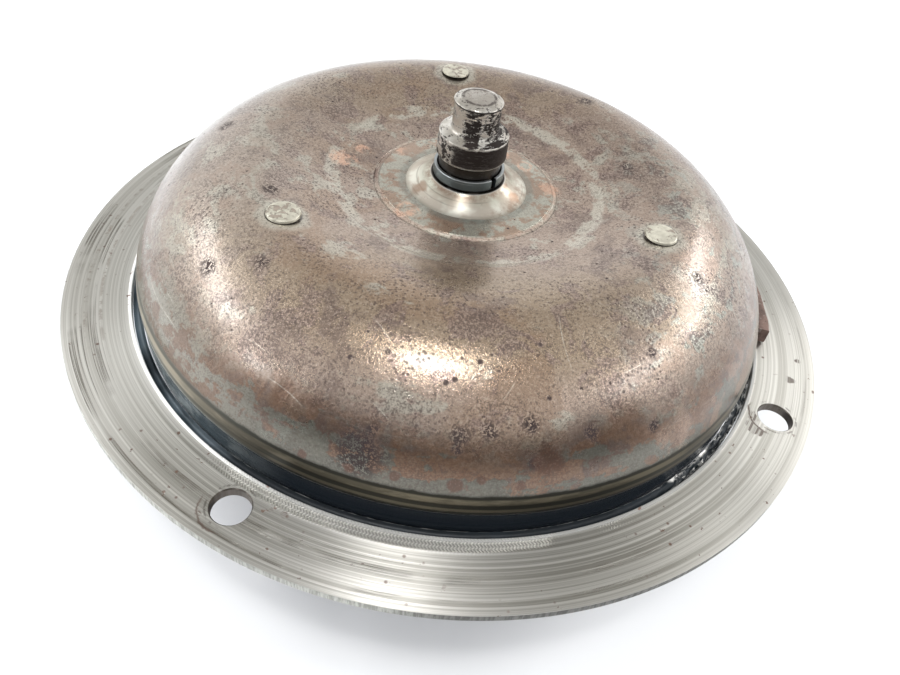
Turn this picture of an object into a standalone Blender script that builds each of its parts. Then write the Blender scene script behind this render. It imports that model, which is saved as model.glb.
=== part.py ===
"""Torque converter of a small car gearbox, standing on its hub neck with the engine side up.

The converter turns about +Z. The origin is on that axis, at the end face of the hub neck.
Sizes are in metres and angles in degrees.
"""
import math

import bmesh
import bpy
import numpy as np

# Fits and fineness

SEAT = 0.0003
VANE_SEAT = 0.0005
LARGE_STEPS = 40
WHEEL_STEPS = 28
SMALL_STEPS = 24
RIVET_STEPS = 10

# Oil circuit: the torus that both vane wheels share

FLANGE_Z = 0.056
CIRCUIT_RISE = 0.003
CIRCUIT_Z = FLANGE_Z + CIRCUIT_RISE
CIRCUIT_OUTER_RADIUS = 0.091
CIRCUIT_INNER_RADIUS = 0.039
CIRCUIT_CENTRE = (CIRCUIT_OUTER_RADIUS + CIRCUIT_INNER_RADIUS) / 2
SECTION_RADIUS = (CIRCUIT_OUTER_RADIUS - CIRCUIT_INNER_RADIUS) / 2
CORE_RADIUS = 0.011
CORE_WALL = 0.0014
VANE_THICKNESS = 0.0012
VANE_FIRST_ANGLE = 2.5
VANE_LAST_ANGLE = 150.0
VANE_SEGMENTS = 5
PUMP_VANES = 19
TURBINE_VANES = 17
PUMP_WALL = 0.003
TURBINE_WALL = 0.0016

# Freewheel

RACE_SPLINE_RADIUS = 0.0124
RACE_SPLINE_DEPTH = 0.0014
RACE_SPLINES = 18
RACE_WALL = 0.0042
TRACK_RADIUS = RACE_SPLINE_RADIUS + RACE_SPLINE_DEPTH + RACE_WALL
TRACK_CLEARANCE = 0.0008
ROLLERS = 8
ROLLER_RADIUS = 0.0035
ROLLER_LENGTH = 0.015
ROLLER_CIRCLE = TRACK_RADIUS + SEAT + ROLLER_RADIUS
RAMP_RISE = 0.0006
CAM_WALL = 0.0045
CAM_RADIUS = ROLLER_CIRCLE + ROLLER_RADIUS + SEAT + RAMP_RISE + CAM_WALL
CAM_HALF = ROLLER_LENGTH / 2 + 0.0005
SPRING_SHEET = 0.0004
SPRING_FOLDS = 5
SPRING_HEIGHT = 0.0042
SPRING_WIDTH = 0.011
SPRING_LENGTH = 0.0042
SIDE_PLATE = 0.002
STATOR_RING = 0.0012
STATOR_RING_DEPTH = 0.0014
STATOR_RING_GAP = 16.0
STATOR_LIP = 0.0004
RACE_HALF = CAM_HALF + SEAT + SIDE_PLATE

# Stator

STATOR_BORE = CAM_RADIUS + SEAT
STATOR_HUB_RADIUS = CIRCUIT_INNER_RADIUS + 0.001
STATOR_HALF = RACE_HALF + SEAT + STATOR_RING + SEAT + STATOR_LIP
STATOR_BAND = 0.0015
STATOR_BAND_CLEARANCE = 0.0015
STATOR_RUNNING_GAP = 0.002
STATOR_BLADES = 13
STATOR_BLADE_THICKNESS = 0.0036
STATOR_BLADE_CAMBER = 0.0050

# Thrust washers and turbine hub

NECK_BORE = 0.0155
WASHER_CLEARANCE = 0.001
WASHER_BORE = NECK_BORE + WASHER_CLEARANCE
WASHER_WIDTH = 0.008
WASHER_THICKNESS = 0.0023
FRONT_WASHER_THICKNESS = 0.002
HUB_BOSS_RADIUS = WASHER_BORE + WASHER_WIDTH
HUB_FLANGE_WIDTH = 0.0115
HUB_FLANGE_RADIUS = HUB_BOSS_RADIUS + HUB_FLANGE_WIDTH
HUB_FLANGE = 0.0035
HUB_SPLINE_RADIUS = 0.0093
HUB_SPLINE_DEPTH = 0.0012
HUB_SPLINES = 16
TURBINE_RIVETS = 6
TURBINE_RIVET_RADIUS = 0.0018
TURBINE_RIVET_HEAD = 0.0034
TURBINE_RIVET_HEAD_HEIGHT = 0.0011
TURBINE_CLEARANCE = 0.0025
PLATE_Z = CIRCUIT_Z + STATOR_HALF + TURBINE_CLEARANCE
HUB_BOTTOM_Z = CIRCUIT_Z + RACE_HALF + SEAT + WASHER_THICKNESS + SEAT
HUB_FLANGE_Z = PLATE_Z + TURBINE_WALL + SEAT
HUB_TOP_Z = HUB_FLANGE_Z + HUB_FLANGE

# Hub neck

NECK_WALL = 0.0035
NECK_RADIUS = NECK_BORE + NECK_WALL
NECK_FLANGE_RADIUS = 0.030
NECK_CHAMFER = 0.0008
NECK_FILLET = 0.0045
NECK_SLOT_WIDTH = 0.008
NECK_SLOT_DEPTH = 0.007
NECK_SLOTS = 2
NECK_FACE_Z = CIRCUIT_Z - RACE_HALF - SEAT - WASHER_THICKNESS - SEAT
PUMP_PLATE_Z = CIRCUIT_Z - STATOR_HALF - TURBINE_CLEARANCE
PUMP_LIP_LENGTH = 0.013

# Front cover

COVER_WALL = 0.0035
COVER_TURNED_DEPTH = 0.0004
COVER_SKIRT_BORE = CIRCUIT_OUTER_RADIUS + PUMP_WALL + SEAT
COVER_TURNED_RADIUS = COVER_SKIRT_BORE + COVER_WALL
COVER_RADIUS = COVER_TURNED_RADIUS + COVER_TURNED_DEPTH
COVER_SKIRT = 0.007
COVER_BAND_HEIGHT = 0.0072
CROWN_RADIUS = 0.0636
CROWN_ROOM = 0.0071
CROWN_Z = CIRCUIT_Z + SECTION_RADIUS + TURBINE_WALL + CROWN_ROOM + COVER_WALL
SHOULDER_EXPONENT = 1.71
SHOULDER_SEGMENTS = 6
LINER_SEGMENTS = 5
DISH_RADIUS = 0.0417
DISH_SLOPE = 0.17
DISH_LINE = 0.0005
DISC_RADIUS = 0.0268
DISC_STEP = 0.0006
DISC_EDGE = 0.0006

# Bolt flange

FLANGE_WIDTH = 0.0193
FLANGE_THICKNESS = 0.003
FLANGE_GROOVE = 0.0029
FLANGE_EDGE = 0.0005
FLANGE_BORE = COVER_TURNED_RADIUS + FLANGE_GROOVE
FLANGE_RADIUS = FLANGE_BORE + FLANGE_WIDTH
BOLT_EDGE_DISTANCE = 0.010
BOLT_CIRCLE_RADIUS = FLANGE_RADIUS - BOLT_EDGE_DISTANCE
BOLT_HOLE_RADIUS = 0.005
BOLT_HOLES = 4
BOLT_FIRST_ANGLE = -23.5

# Cover rivets and balance weight

COVER_RIVETS = 3
COVER_RIVET_INSET = 0.004
COVER_RIVET_CIRCLE = CROWN_RADIUS - COVER_RIVET_INSET
COVER_RIVET_FIRST_ANGLE = 99.5
COVER_RIVET_RADIUS = 0.0025
COVER_RIVET_HEAD = 0.0047
COVER_RIVET_HEAD_HEIGHT = 0.0008
BALANCE_WEIGHT_ANGLE = -0.5
BALANCE_WEIGHT_SPAN = 15.0
BALANCE_WEIGHT_WIDTH = 0.0062
BALANCE_WEIGHT_HEIGHT = 0.0052

# Pilot stub and the thrust plate behind it

THRUST_PLATE = 0.002
THRUST_PLATE_BORE = 0.0105
THRUST_PLATE_MARGIN = 0.0022
THRUST_PLATE_RADIUS = COVER_RIVET_CIRCLE + COVER_RIVET_HEAD + THRUST_PLATE_MARGIN
STUB_FLANGE = 0.0025
STUB_FLANGE_RADIUS = 0.023
STUB_BODY_RADIUS = 0.0184
THRUST_PLATE_Z = HUB_TOP_Z + SEAT + FRONT_WASHER_THICKNESS + SEAT
STUB_FLANGE_Z = THRUST_PLATE_Z + THRUST_PLATE + SEAT
DISH_Z = STUB_FLANGE_Z + STUB_FLANGE + SEAT + COVER_WALL
STUB_CONE_HEIGHT = 0.0037
STUB_CONE_SEGMENTS = 4
STUB_RING_SEAT_RADIUS = 0.011
STUB_GROOVE_RADIUS = 0.0093
STUB_GROOVE_HEIGHT = 0.0068
COLLAR_RADIUS = 0.0104
COLLAR_HEIGHT = 0.0073
COLLAR_EDGE = 0.0004
COLLAR_SHOULDER = 0.0008
JOURNAL_RADIUS = 0.0068
JOURNAL_HEIGHT = 0.0085
TIP_RADIUS = 0.0071
TIP_RIM = 0.0005
TIP_CHAMFER_WIDTH = 0.0007
TIP_CHAMFER_HEIGHT = 0.0007
STUB_SNAP_RING_HEIGHT = 0.0032
STUB_SNAP_RING_GAP = 10.0
STUB_SNAP_RING_ANGLE = -42.0
BUSH_RADIUS = 0.0082
BUSH_WALL = 0.0014
BUSH_LENGTH = 0.008

# Weld beads

FLANGE_WELD = 0.0012
CLOSING_WELD = 0.0026
NECK_WELD = 0.0024


def empty_scene():
    """Clears what a new file holds and makes the collections for the parts and the cutters."""
    for thing in list(bpy.data.objects):
        bpy.data.objects.remove(thing, do_unlink=True)
    collections = []
    for name in ("torque_converter", "cutters"):
        collection = bpy.data.collections.new(name)
        bpy.context.scene.collection.children.link(collection)
        collections.append(collection)
    return collections


PARTS, CUTTERS = empty_scene()


def metal(name, colour, roughness, metallic=1.0):
    """Makes the plain finish of one sub-part."""
    material = bpy.data.materials.new(name)
    material.use_nodes = True
    shader = material.node_tree.nodes["Principled BSDF"]
    shader.inputs["Base Color"].default_value = (*colour, 1.0)
    shader.inputs["Roughness"].default_value = roughness
    shader.inputs["Metallic"].default_value = metallic
    return material


def axis_empty(name):
    """Places an empty on the converter's axis, for the pieces that turn together."""
    empty = bpy.data.objects.new(name, None)
    empty.location.z = CIRCUIT_Z
    PARTS.objects.link(empty)
    return empty


TURBINE_AXIS = axis_empty("turbine_axis")
RACE_AXIS = axis_empty("race_axis")
STATOR_AXIS = axis_empty("stator_axis")


def add_part(name, mesh, material=None, carrier=None, sharp=35.0):
    """Adds a mesh, drawn in world coordinates, as a sub-part."""
    part = bpy.data.objects.new(name, mesh)
    PARTS.objects.link(part)
    if material:
        mesh.materials.clear()
        mesh.materials.append(material)
    mesh.shade_smooth()
    mesh.set_sharp_from_angle(angle=math.radians(sharp))
    if carrier:
        part.parent = carrier
        part.matrix_parent_inverse.translation = -carrier.location
    return part


def add_cutter(name, mesh):
    """Adds a mesh that only cuts or joins."""
    cutter = bpy.data.objects.new(name, mesh)
    cutter.hide_render = True
    cutter.display_type = "WIRE"
    CUTTERS.objects.link(cutter)
    return cutter


def combine(part, other, operation):
    """Cuts another mesh out of a part, or joins it on."""
    step = part.modifiers.new(other.name, "BOOLEAN")
    step.operation = operation
    step.solver = "EXACT"
    step.object = other


def turned_mesh(name, profile, closed=True):
    """Makes the half section of a turned piece; it runs down the outer side."""
    mesh = bpy.data.meshes.new(name)
    edges = [(i, i + 1) for i in range(len(profile) - 1)]
    if closed:
        edges.append((len(profile) - 1, 0))
    mesh.from_pydata([(radius, 0.0, z) for radius, z in profile], edges, [])
    return mesh


def spin_profile(part, steps):
    """Turns a half section about the axis."""
    screw = part.modifiers.new("turned", "SCREW")
    screw.axis = "Z"
    screw.steps = steps
    screw.render_steps = steps
    screw.use_merge_vertices = True
    screw.merge_threshold = 0.00001
    screw.use_smooth_shade = True


def turned(name, profile, material, steps=LARGE_STEPS, carrier=None, closed=True):
    """Adds a turned sub-part."""
    part = add_part(name, turned_mesh(name, profile, closed), material, carrier)
    spin_profile(part, steps)
    return part


def ring_section(bore, radius, low, high):
    """Gives the section of a plain ring."""
    return [(radius, high), (radius, low), (bore, low), (bore, high)]


def swept_mesh(name, section, first_angle, span, steps):
    """Makes a section swept over part of a turn, with closed ends."""
    bm = bmesh.new()
    turn = math.radians(first_angle)
    verts = [bm.verts.new((r * math.cos(turn), r * math.sin(turn), z)) for r, z in section]
    face = bm.faces.new(verts)
    bmesh.ops.spin(bm, geom=[face, *face.edges, *face.verts], cent=(0, 0, 0), axis=(0, 0, 1),
                   angle=math.radians(span), steps=steps, use_merge=False)
    bmesh.ops.recalc_face_normals(bm, faces=bm.faces)
    mesh = bpy.data.meshes.new(name)
    bm.to_mesh(mesh)
    bm.free()
    return mesh


def prism_into(bm, outline, low, high):
    """Adds an upright prism over a flat outline to a mesh being built."""
    base = bm.faces.new([bm.verts.new((x, y, low)) for x, y in outline])
    raised = bmesh.ops.extrude_face_region(bm, geom=[base])["geom"]
    for item in raised:
        if isinstance(item, bmesh.types.BMVert):
            item.co.z = high
    bmesh.ops.recalc_face_normals(bm, faces=bm.faces)


def prisms(name, outlines, low, high):
    """Makes one mesh of upright prisms that don't touch."""
    bm = bmesh.new()
    for outline in outlines:
        prism_into(bm, outline, low, high)
    mesh = bpy.data.meshes.new(name)
    bm.to_mesh(mesh)
    bm.free()
    return mesh


def polar(radius, angle):
    """Gives the flat point at a radius and an angle in degrees."""
    return radius * math.cos(math.radians(angle)), radius * math.sin(math.radians(angle))


def circle(centre, radius, steps):
    """Gives the points of a flat circle."""
    return [(centre[0] + x, centre[1] + y)
            for x, y in (polar(radius, 360 * i / steps) for i in range(steps))]


def around(count, first_angle=0.0):
    """Gives evenly spaced angles."""
    return [first_angle + 360 * i / count for i in range(count)]


def circuit_point(reach, angle):
    """Gives the section point at a reach and an angle from the centre of the oil circuit."""
    turn = math.radians(angle)
    return CIRCUIT_CENTRE + reach * math.cos(turn), CIRCUIT_Z + reach * math.sin(turn)


def vane_angles(side):
    """Gives the angles of a wheel's passage; the pump's side is -1, the turbine's is 1."""
    return side * np.linspace(VANE_FIRST_ANGLE, VANE_LAST_ANGLE, VANE_SEGMENTS + 1)


def height_on(profile, radius):
    """Gives a profile's height at a radius; the profile's radii rise."""
    return float(np.interp(radius, [r for r, _ in profile], [z for _, z in profile]))


def shoulder(crown_z, rim_radius, rim_z, segments):
    """Gives the dome's full shoulder, from the crown out to the rim."""
    points = []
    for turn in np.linspace(math.pi / 2, 0, segments + 1):
        out = max(math.cos(turn), 0.0) ** (2 / SHOULDER_EXPONENT)
        up = max(math.sin(turn), 0.0) ** (2 / SHOULDER_EXPONENT)
        points.append((CROWN_RADIUS + (rim_radius - CROWN_RADIUS) * out, rim_z + (crown_z - rim_z) * up))
    return points


def dish_to_crown(depth):
    """Gives the curve from the dished middle to just before the crown, this far below the face."""
    start_z = DISH_Z - DISC_STEP + (DISH_RADIUS - DISC_RADIUS) * DISH_SLOPE + DISH_LINE
    width = CROWN_RADIUS - DISH_RADIUS
    points = []
    for share in (0.0, 0.3, 0.65):
        rise = share * share * (3 - 2 * share)
        lead = share * (1 - share) ** 2 * width * DISH_SLOPE
        points.append((DISH_RADIUS + share * width, start_z + (CROWN_Z - start_z) * rise + lead - depth))
    return points


# Front cover

BAND_TOP_Z = FLANGE_Z + COVER_BAND_HEIGHT
SKIRT_Z = FLANGE_Z - COVER_SKIRT
CENTRE_HOLE = STUB_BODY_RADIUS + SEAT
COVER_OUTSIDE = [
    (CENTRE_HOLE, DISH_Z),
    (DISC_RADIUS, DISH_Z),
    (DISC_RADIUS + DISC_EDGE, DISH_Z - DISC_STEP),
    (DISH_RADIUS - DISC_EDGE, dish_to_crown(DISH_LINE)[0][1]),
    *dish_to_crown(0.0),
    *shoulder(CROWN_Z, COVER_RADIUS, BAND_TOP_Z, SHOULDER_SEGMENTS),
]
COVER_INSIDE = [
    (CENTRE_HOLE, DISH_Z - COVER_WALL),
    (DISC_RADIUS, DISH_Z - COVER_WALL),
    *dish_to_crown(COVER_WALL),
    *shoulder(CROWN_Z - COVER_WALL, COVER_SKIRT_BORE, BAND_TOP_Z, LINER_SEGMENTS),
]


def rivet_section(radius, head, head_height, low, high):
    """Gives a rivet's section, with a flat head above and below what it holds."""
    edge = head_height / 3
    return [(0, high + head_height), (head - edge, high + head_height), (head, high), (radius, high),
            (radius, low), (head, low), (head - edge, low - head_height), (0, low - head_height)]


def rivets(name, count, circle_radius, first_angle, section, material, carrier=None):
    """Adds evenly spaced rivets that share one mesh."""
    mesh = turned_mesh(name, section, closed=False)
    for number, angle in enumerate(around(count, first_angle), 1):
        rivet = add_part(f"{name}_{number}", mesh, material, carrier)
        rivet.location = (*polar(circle_radius, angle), 0)
        spin_profile(rivet, RIVET_STEPS)


def rivet_holes(name, count, circle_radius, first_angle, radius, low, high):
    """Makes the cutter for a ring of rivet holes."""
    outlines = [circle(polar(circle_radius, angle), radius + SEAT, RIVET_STEPS)
                for angle in around(count, first_angle)]
    return add_cutter(name, prisms(name, outlines, low, high))


def make_front_cover():
    """Adds the deep-drawn cover and the plate riveted behind its dished middle."""
    steel = metal("cover_steel", (0.30, 0.25, 0.21), 0.42)
    skirt = [(COVER_TURNED_RADIUS, BAND_TOP_Z - COVER_TURNED_DEPTH), (COVER_TURNED_RADIUS, SKIRT_Z),
             (COVER_SKIRT_BORE, SKIRT_Z)]
    cover = turned("front_cover", COVER_OUTSIDE + skirt + COVER_INSIDE[::-1], steel)
    rim_z = height_on(COVER_INSIDE, THRUST_PLATE_RADIUS)
    follows = [point for point in COVER_INSIDE if DISH_RADIUS <= point[0] < THRUST_PLATE_RADIUS]
    top = [(THRUST_PLATE_BORE, THRUST_PLATE_Z + THRUST_PLATE),
           (STUB_FLANGE_RADIUS + THRUST_PLATE, THRUST_PLATE_Z + THRUST_PLATE),
           *[(radius, z - SEAT) for radius, z in follows],
           (THRUST_PLATE_RADIUS, rim_z - SEAT)]
    under = [(radius, z - THRUST_PLATE) for radius, z in top]
    plate = turned("thrust_plate", top + under[::-1], metal("thrust_plate_steel", (0.42, 0.41, 0.39), 0.4))
    high = max(height_on(COVER_OUTSIDE, COVER_RIVET_CIRCLE + reach) for reach in (0, COVER_RIVET_HEAD)) + SEAT
    low = min(height_on(under, COVER_RIVET_CIRCLE + reach) for reach in (0, -COVER_RIVET_HEAD)) - SEAT
    rivets("cover_rivet", COVER_RIVETS, COVER_RIVET_CIRCLE, COVER_RIVET_FIRST_ANGLE,
           rivet_section(COVER_RIVET_RADIUS, COVER_RIVET_HEAD, COVER_RIVET_HEAD_HEIGHT, low, high),
           metal("cover_rivet_steel", (0.52, 0.49, 0.45), 0.38))
    holes = rivet_holes("cover_rivet_holes", COVER_RIVETS, COVER_RIVET_CIRCLE, COVER_RIVET_FIRST_ANGLE,
                        COVER_RIVET_RADIUS, low - COVER_WALL, high + COVER_WALL)
    combine(cover, holes, "DIFFERENCE")
    combine(plate, holes, "DIFFERENCE")


def make_pilot_stub():
    """Adds the turned stub that centres the converter in the crankshaft, its snap ring and its bush."""
    seat_z = DISH_Z + STUB_CONE_HEIGHT
    collar_z = seat_z + STUB_GROOVE_HEIGHT
    shoulder_z = collar_z + COLLAR_HEIGHT
    journal_z = shoulder_z + COLLAR_SHOULDER
    tip_z = journal_z + JOURNAL_HEIGHT
    end_z = tip_z + TIP_RIM + TIP_CHAMFER_HEIGHT
    cone = []
    for share in np.linspace(0, 1, STUB_CONE_SEGMENTS + 1):
        radius = STUB_RING_SEAT_RADIUS + (STUB_BODY_RADIUS - STUB_RING_SEAT_RADIUS) * share
        cone.append((radius, DISH_Z + STUB_CONE_HEIGHT * (1 - share) ** 1.6))
    bore = BUSH_RADIUS + SEAT
    bore_top_z = STUB_FLANGE_Z + BUSH_LENGTH + SEAT
    profile = [
        (0, end_z),
        (TIP_RADIUS - TIP_CHAMFER_WIDTH, end_z),
        (TIP_RADIUS, tip_z + TIP_RIM),
        (TIP_RADIUS, tip_z),
        (JOURNAL_RADIUS, tip_z),
        (JOURNAL_RADIUS, journal_z),
        (COLLAR_RADIUS, shoulder_z),
        (COLLAR_RADIUS, collar_z + COLLAR_EDGE),
        (COLLAR_RADIUS - COLLAR_EDGE, collar_z),
        (STUB_GROOVE_RADIUS, collar_z),
        (STUB_GROOVE_RADIUS, seat_z),
        *cone,
        (STUB_BODY_RADIUS, STUB_FLANGE_Z + STUB_FLANGE),
        (STUB_FLANGE_RADIUS, STUB_FLANGE_Z + STUB_FLANGE),
        (STUB_FLANGE_RADIUS, STUB_FLANGE_Z),
        (bore, STUB_FLANGE_Z),
        (bore, bore_top_z),
        (0, bore_top_z + bore / 2),
    ]
    turned("pilot_stub", profile, metal("stub_steel", (0.46, 0.44, 0.42), 0.28), SMALL_STEPS, closed=False)
    section = ring_section(STUB_GROOVE_RADIUS + SEAT, STUB_RING_SEAT_RADIUS,
                           seat_z + SEAT, seat_z + SEAT + STUB_SNAP_RING_HEIGHT)
    ring = swept_mesh("stub_snap_ring", section, STUB_SNAP_RING_ANGLE + STUB_SNAP_RING_GAP / 2,
                      360 - STUB_SNAP_RING_GAP, SMALL_STEPS)
    add_part("stub_snap_ring", ring, metal("snap_ring_steel", (0.30, 0.34, 0.37), 0.35))
    turned("pilot_bush", ring_section(BUSH_RADIUS - BUSH_WALL, BUSH_RADIUS, STUB_FLANGE_Z,
                                      STUB_FLANGE_Z + BUSH_LENGTH),
           metal("bush_bronze", (0.60, 0.42, 0.22), 0.35), SMALL_STEPS)


def make_flange():
    """Adds the bolt ring round the cover, its weld bead and the balance weight."""
    under_z = FLANGE_Z - FLANGE_THICKNESS
    section = [(FLANGE_BORE, FLANGE_Z), (FLANGE_RADIUS, FLANGE_Z), (FLANGE_RADIUS, under_z + FLANGE_EDGE),
               (FLANGE_RADIUS - FLANGE_EDGE, under_z), (FLANGE_BORE, under_z)]
    ring = turned("flange_ring", section, metal("flange_steel", (0.55, 0.54, 0.51), 0.33))
    outlines = [circle(polar(BOLT_CIRCLE_RADIUS, angle), BOLT_HOLE_RADIUS, 2 * RIVET_STEPS)
                for angle in around(BOLT_HOLES, BOLT_FIRST_ANGLE)]
    holes = add_cutter("bolt_holes", prisms("bolt_holes", outlines, under_z - SEAT, FLANGE_Z + SEAT))
    combine(ring, holes, "DIFFERENCE")
    inner, outer = COVER_TURNED_RADIUS + SEAT, FLANGE_BORE - SEAT
    bead = [((inner + outer) / 2, under_z + 1.4 * FLANGE_WELD), (outer, under_z + FLANGE_WELD),
            (outer, under_z), (inner, under_z), (inner, under_z + FLANGE_WELD)]
    turned("flange_weld", bead, metal("flange_weld_bead", (0.16, 0.17, 0.18), 0.45))
    block = ring_section(inner, inner + BALANCE_WEIGHT_WIDTH, FLANGE_Z + SEAT,
                         FLANGE_Z + SEAT + BALANCE_WEIGHT_HEIGHT)
    weight = swept_mesh("balance_weight", block, BALANCE_WEIGHT_ANGLE - BALANCE_WEIGHT_SPAN / 2,
                        BALANCE_WEIGHT_SPAN, 4)
    add_part("balance_weight", weight, metal("balance_weight_steel", (0.24, 0.18, 0.15), 0.6))


def passage(reach, side, first=None, last=None):
    """Gives the section of a wheel's passage at a reach from the circuit's centre."""
    angles = vane_angles(side)
    return [circuit_point(reach, angle) for angle in angles[first:last]]


def make_pump_shell():
    """Adds the gearbox-side shell, which the cover's skirt closes over, and the closing bead."""
    low_z = PUMP_PLATE_Z - PUMP_WALL
    lip_low_z = CIRCUIT_Z - PUMP_LIP_LENGTH
    reach = SECTION_RADIUS + PUMP_WALL
    hole = NECK_FLANGE_RADIUS + SEAT
    inside = passage(SECTION_RADIUS, -1)
    outside = passage(reach, -1, 1, -1)
    outside = [point for point in outside if point[1] < lip_low_z]
    lip = CIRCUIT_OUTER_RADIUS + PUMP_WALL
    edge = inside[-1][0] - PUMP_WALL / 2
    profile = [(inside[0][0], CIRCUIT_Z), (lip, CIRCUIT_Z), (lip, lip_low_z), *outside,
               (edge + PUMP_WALL, low_z), (hole, low_z), (hole, PUMP_PLATE_Z), (edge, PUMP_PLATE_Z),
               *inside[::-1]]
    turned("pump_shell", profile, metal("pump_shell_steel", (0.33, 0.31, 0.29), 0.45))
    inner, outer = lip + SEAT, COVER_TURNED_RADIUS
    high_z = SKIRT_Z - SEAT
    bead = [(inner, high_z), (outer, high_z), (inner + CLOSING_WELD / 2, high_z - CLOSING_WELD),
            (inner, high_z - CLOSING_WELD)]
    turned("closing_weld", bead, metal("closing_weld_bead", (0.20, 0.20, 0.20), 0.5))


def make_hub_neck():
    """Adds the turned neck that runs in the gearbox and drives its oil pump."""
    low_z = PUMP_PLATE_Z - PUMP_WALL
    waist = 0.3 * NECK_FILLET
    fillet = [(NECK_RADIUS + NECK_FILLET, low_z), (NECK_RADIUS + waist, low_z - waist),
              (NECK_RADIUS, low_z - NECK_FILLET)]
    profile = [(NECK_BORE, NECK_FACE_Z), (NECK_FLANGE_RADIUS, NECK_FACE_Z), (NECK_FLANGE_RADIUS, low_z),
               *fillet, (NECK_RADIUS, NECK_CHAMFER), (NECK_RADIUS - NECK_CHAMFER, 0), (NECK_BORE, 0)]
    neck = turned("hub_neck", profile, metal("neck_steel", (0.58, 0.57, 0.55), 0.25), SMALL_STEPS)
    half = NECK_SLOT_WIDTH / 2
    outlines = []
    for angle in around(NECK_SLOTS):
        corners = [(NECK_BORE / 2, -half), (2 * NECK_RADIUS, -half),
                   (2 * NECK_RADIUS, half), (NECK_BORE / 2, half)]
        turn = math.radians(angle)
        outlines.append([(x * math.cos(turn) - y * math.sin(turn), x * math.sin(turn) + y * math.cos(turn))
                         for x, y in corners])
    slots = add_cutter("neck_slots", prisms("neck_slots", outlines, -NECK_SLOT_DEPTH, NECK_SLOT_DEPTH))
    combine(neck, slots, "DIFFERENCE")
    middle = NECK_FLANGE_RADIUS + SEAT
    high_z = low_z - SEAT
    bead = [(middle + NECK_WELD, high_z), (middle, high_z - NECK_WELD), (middle - NECK_WELD, high_z)]
    turned("neck_weld", bead, metal("neck_weld_bead", (0.24, 0.24, 0.23), 0.5))


def vane_into(bm, side, lean, turn):
    """Adds one pressed vane, a curved sheet from the core ring out to the shell."""
    inner = CORE_RADIUS - CORE_WALL / 2
    outer = SECTION_RADIUS - VANE_SEAT
    rows = []
    for step, angle in enumerate(vane_angles(side)):
        heading = turn + lean(step / VANE_SEGMENTS)
        ring = []
        for reach, offset in ((inner, -1), (outer, -1), (outer, 1), (inner, 1)):
            radius, z = circuit_point(reach, angle)
            swing = heading + math.degrees(offset * VANE_THICKNESS / 2 / radius)
            ring.append(bm.verts.new((*polar(radius, swing), z)))
        rows.append(ring)
    bm.faces.new(rows[0])
    bm.faces.new(rows[-1][::-1])
    for before, after in zip(rows, rows[1:]):
        for i in range(4):
            bm.faces.new((before[i - 1], before[i], after[i], after[i - 1]))


def make_vane_ring(name, side, count, lean, material, carrier=None):
    """Adds a wheel's vanes with the half core ring that holds them."""
    bm = bmesh.new()
    for turn in around(count):
        vane_into(bm, side, lean, turn)
    bmesh.ops.recalc_face_normals(bm, faces=bm.faces)
    mesh = bpy.data.meshes.new(name + "_vanes")
    bm.to_mesh(mesh)
    bm.free()
    vanes = add_cutter(name + "_vanes", mesh)
    section = passage(CORE_RADIUS, side) + passage(CORE_RADIUS - CORE_WALL, side)[::-1]
    if side > 0:
        section = section[::-1]
    core = turned(name, section, material, WHEEL_STEPS, carrier)
    combine(core, vanes, "UNION")


def pump_lean(share):
    """Gives the pump vane's lean in degrees, along its passage."""
    return -7.0 * share


def turbine_lean(share):
    """Gives the turbine vane's lean in degrees: it scoops the oil and turns it back."""
    return 34.0 * (share - 0.4) ** 2


def make_turbine():
    """Adds the turbine: its shell, vanes, splined hub and rivets."""
    reach = SECTION_RADIUS + TURBINE_WALL
    hole = HUB_BOSS_RADIUS + SEAT
    top_z = PLATE_Z + TURBINE_WALL
    inside = passage(SECTION_RADIUS, 1)
    outside = passage(reach, 1, 0, -1)
    edge = inside[-1][0] - TURBINE_WALL / 2
    profile = [(hole, top_z), (edge + TURBINE_WALL, top_z), *outside[::-1], *inside,
               (edge, PLATE_Z), (hole, PLATE_Z)]
    shell = turned("turbine_shell", profile, metal("turbine_shell_steel", (0.40, 0.39, 0.38), 0.4),
                   carrier=TURBINE_AXIS)
    make_vane_ring("turbine_vane_ring", 1, TURBINE_VANES, turbine_lean,
                   metal("turbine_vane_steel", (0.44, 0.43, 0.42), 0.4), TURBINE_AXIS)
    root = HUB_SPLINE_RADIUS + HUB_SPLINE_DEPTH
    body = [(HUB_SPLINE_RADIUS, HUB_TOP_Z), (HUB_FLANGE_RADIUS, HUB_TOP_Z),
            (HUB_FLANGE_RADIUS, HUB_FLANGE_Z), (HUB_BOSS_RADIUS, HUB_FLANGE_Z),
            (HUB_BOSS_RADIUS, HUB_BOTTOM_Z), (HUB_SPLINE_RADIUS, HUB_BOTTOM_Z)]
    hub = turned("turbine_hub", body, metal("turbine_hub_steel", (0.50, 0.49, 0.48), 0.3),
                 WHEEL_STEPS, TURBINE_AXIS)
    spaces = spline_cutter("hub_splines", HUB_SPLINES, HUB_SPLINE_RADIUS, root,
                           HUB_BOTTOM_Z - SEAT, HUB_TOP_Z + SEAT)
    combine(hub, spaces, "DIFFERENCE")
    low, high = PLATE_Z - SEAT, HUB_TOP_Z + SEAT
    rivet_circle = (HUB_BOSS_RADIUS + HUB_FLANGE_RADIUS) / 2
    rivets("turbine_rivet", TURBINE_RIVETS, rivet_circle, 0.0,
           rivet_section(TURBINE_RIVET_RADIUS, TURBINE_RIVET_HEAD, TURBINE_RIVET_HEAD_HEIGHT, low, high),
           metal("turbine_rivet_steel", (0.45, 0.44, 0.43), 0.4), TURBINE_AXIS)
    holes = rivet_holes("turbine_rivet_holes", TURBINE_RIVETS, rivet_circle, 0.0,
                        TURBINE_RIVET_RADIUS, low - TURBINE_WALL, high + TURBINE_WALL)
    combine(shell, holes, "DIFFERENCE")
    combine(hub, holes, "DIFFERENCE")


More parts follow.
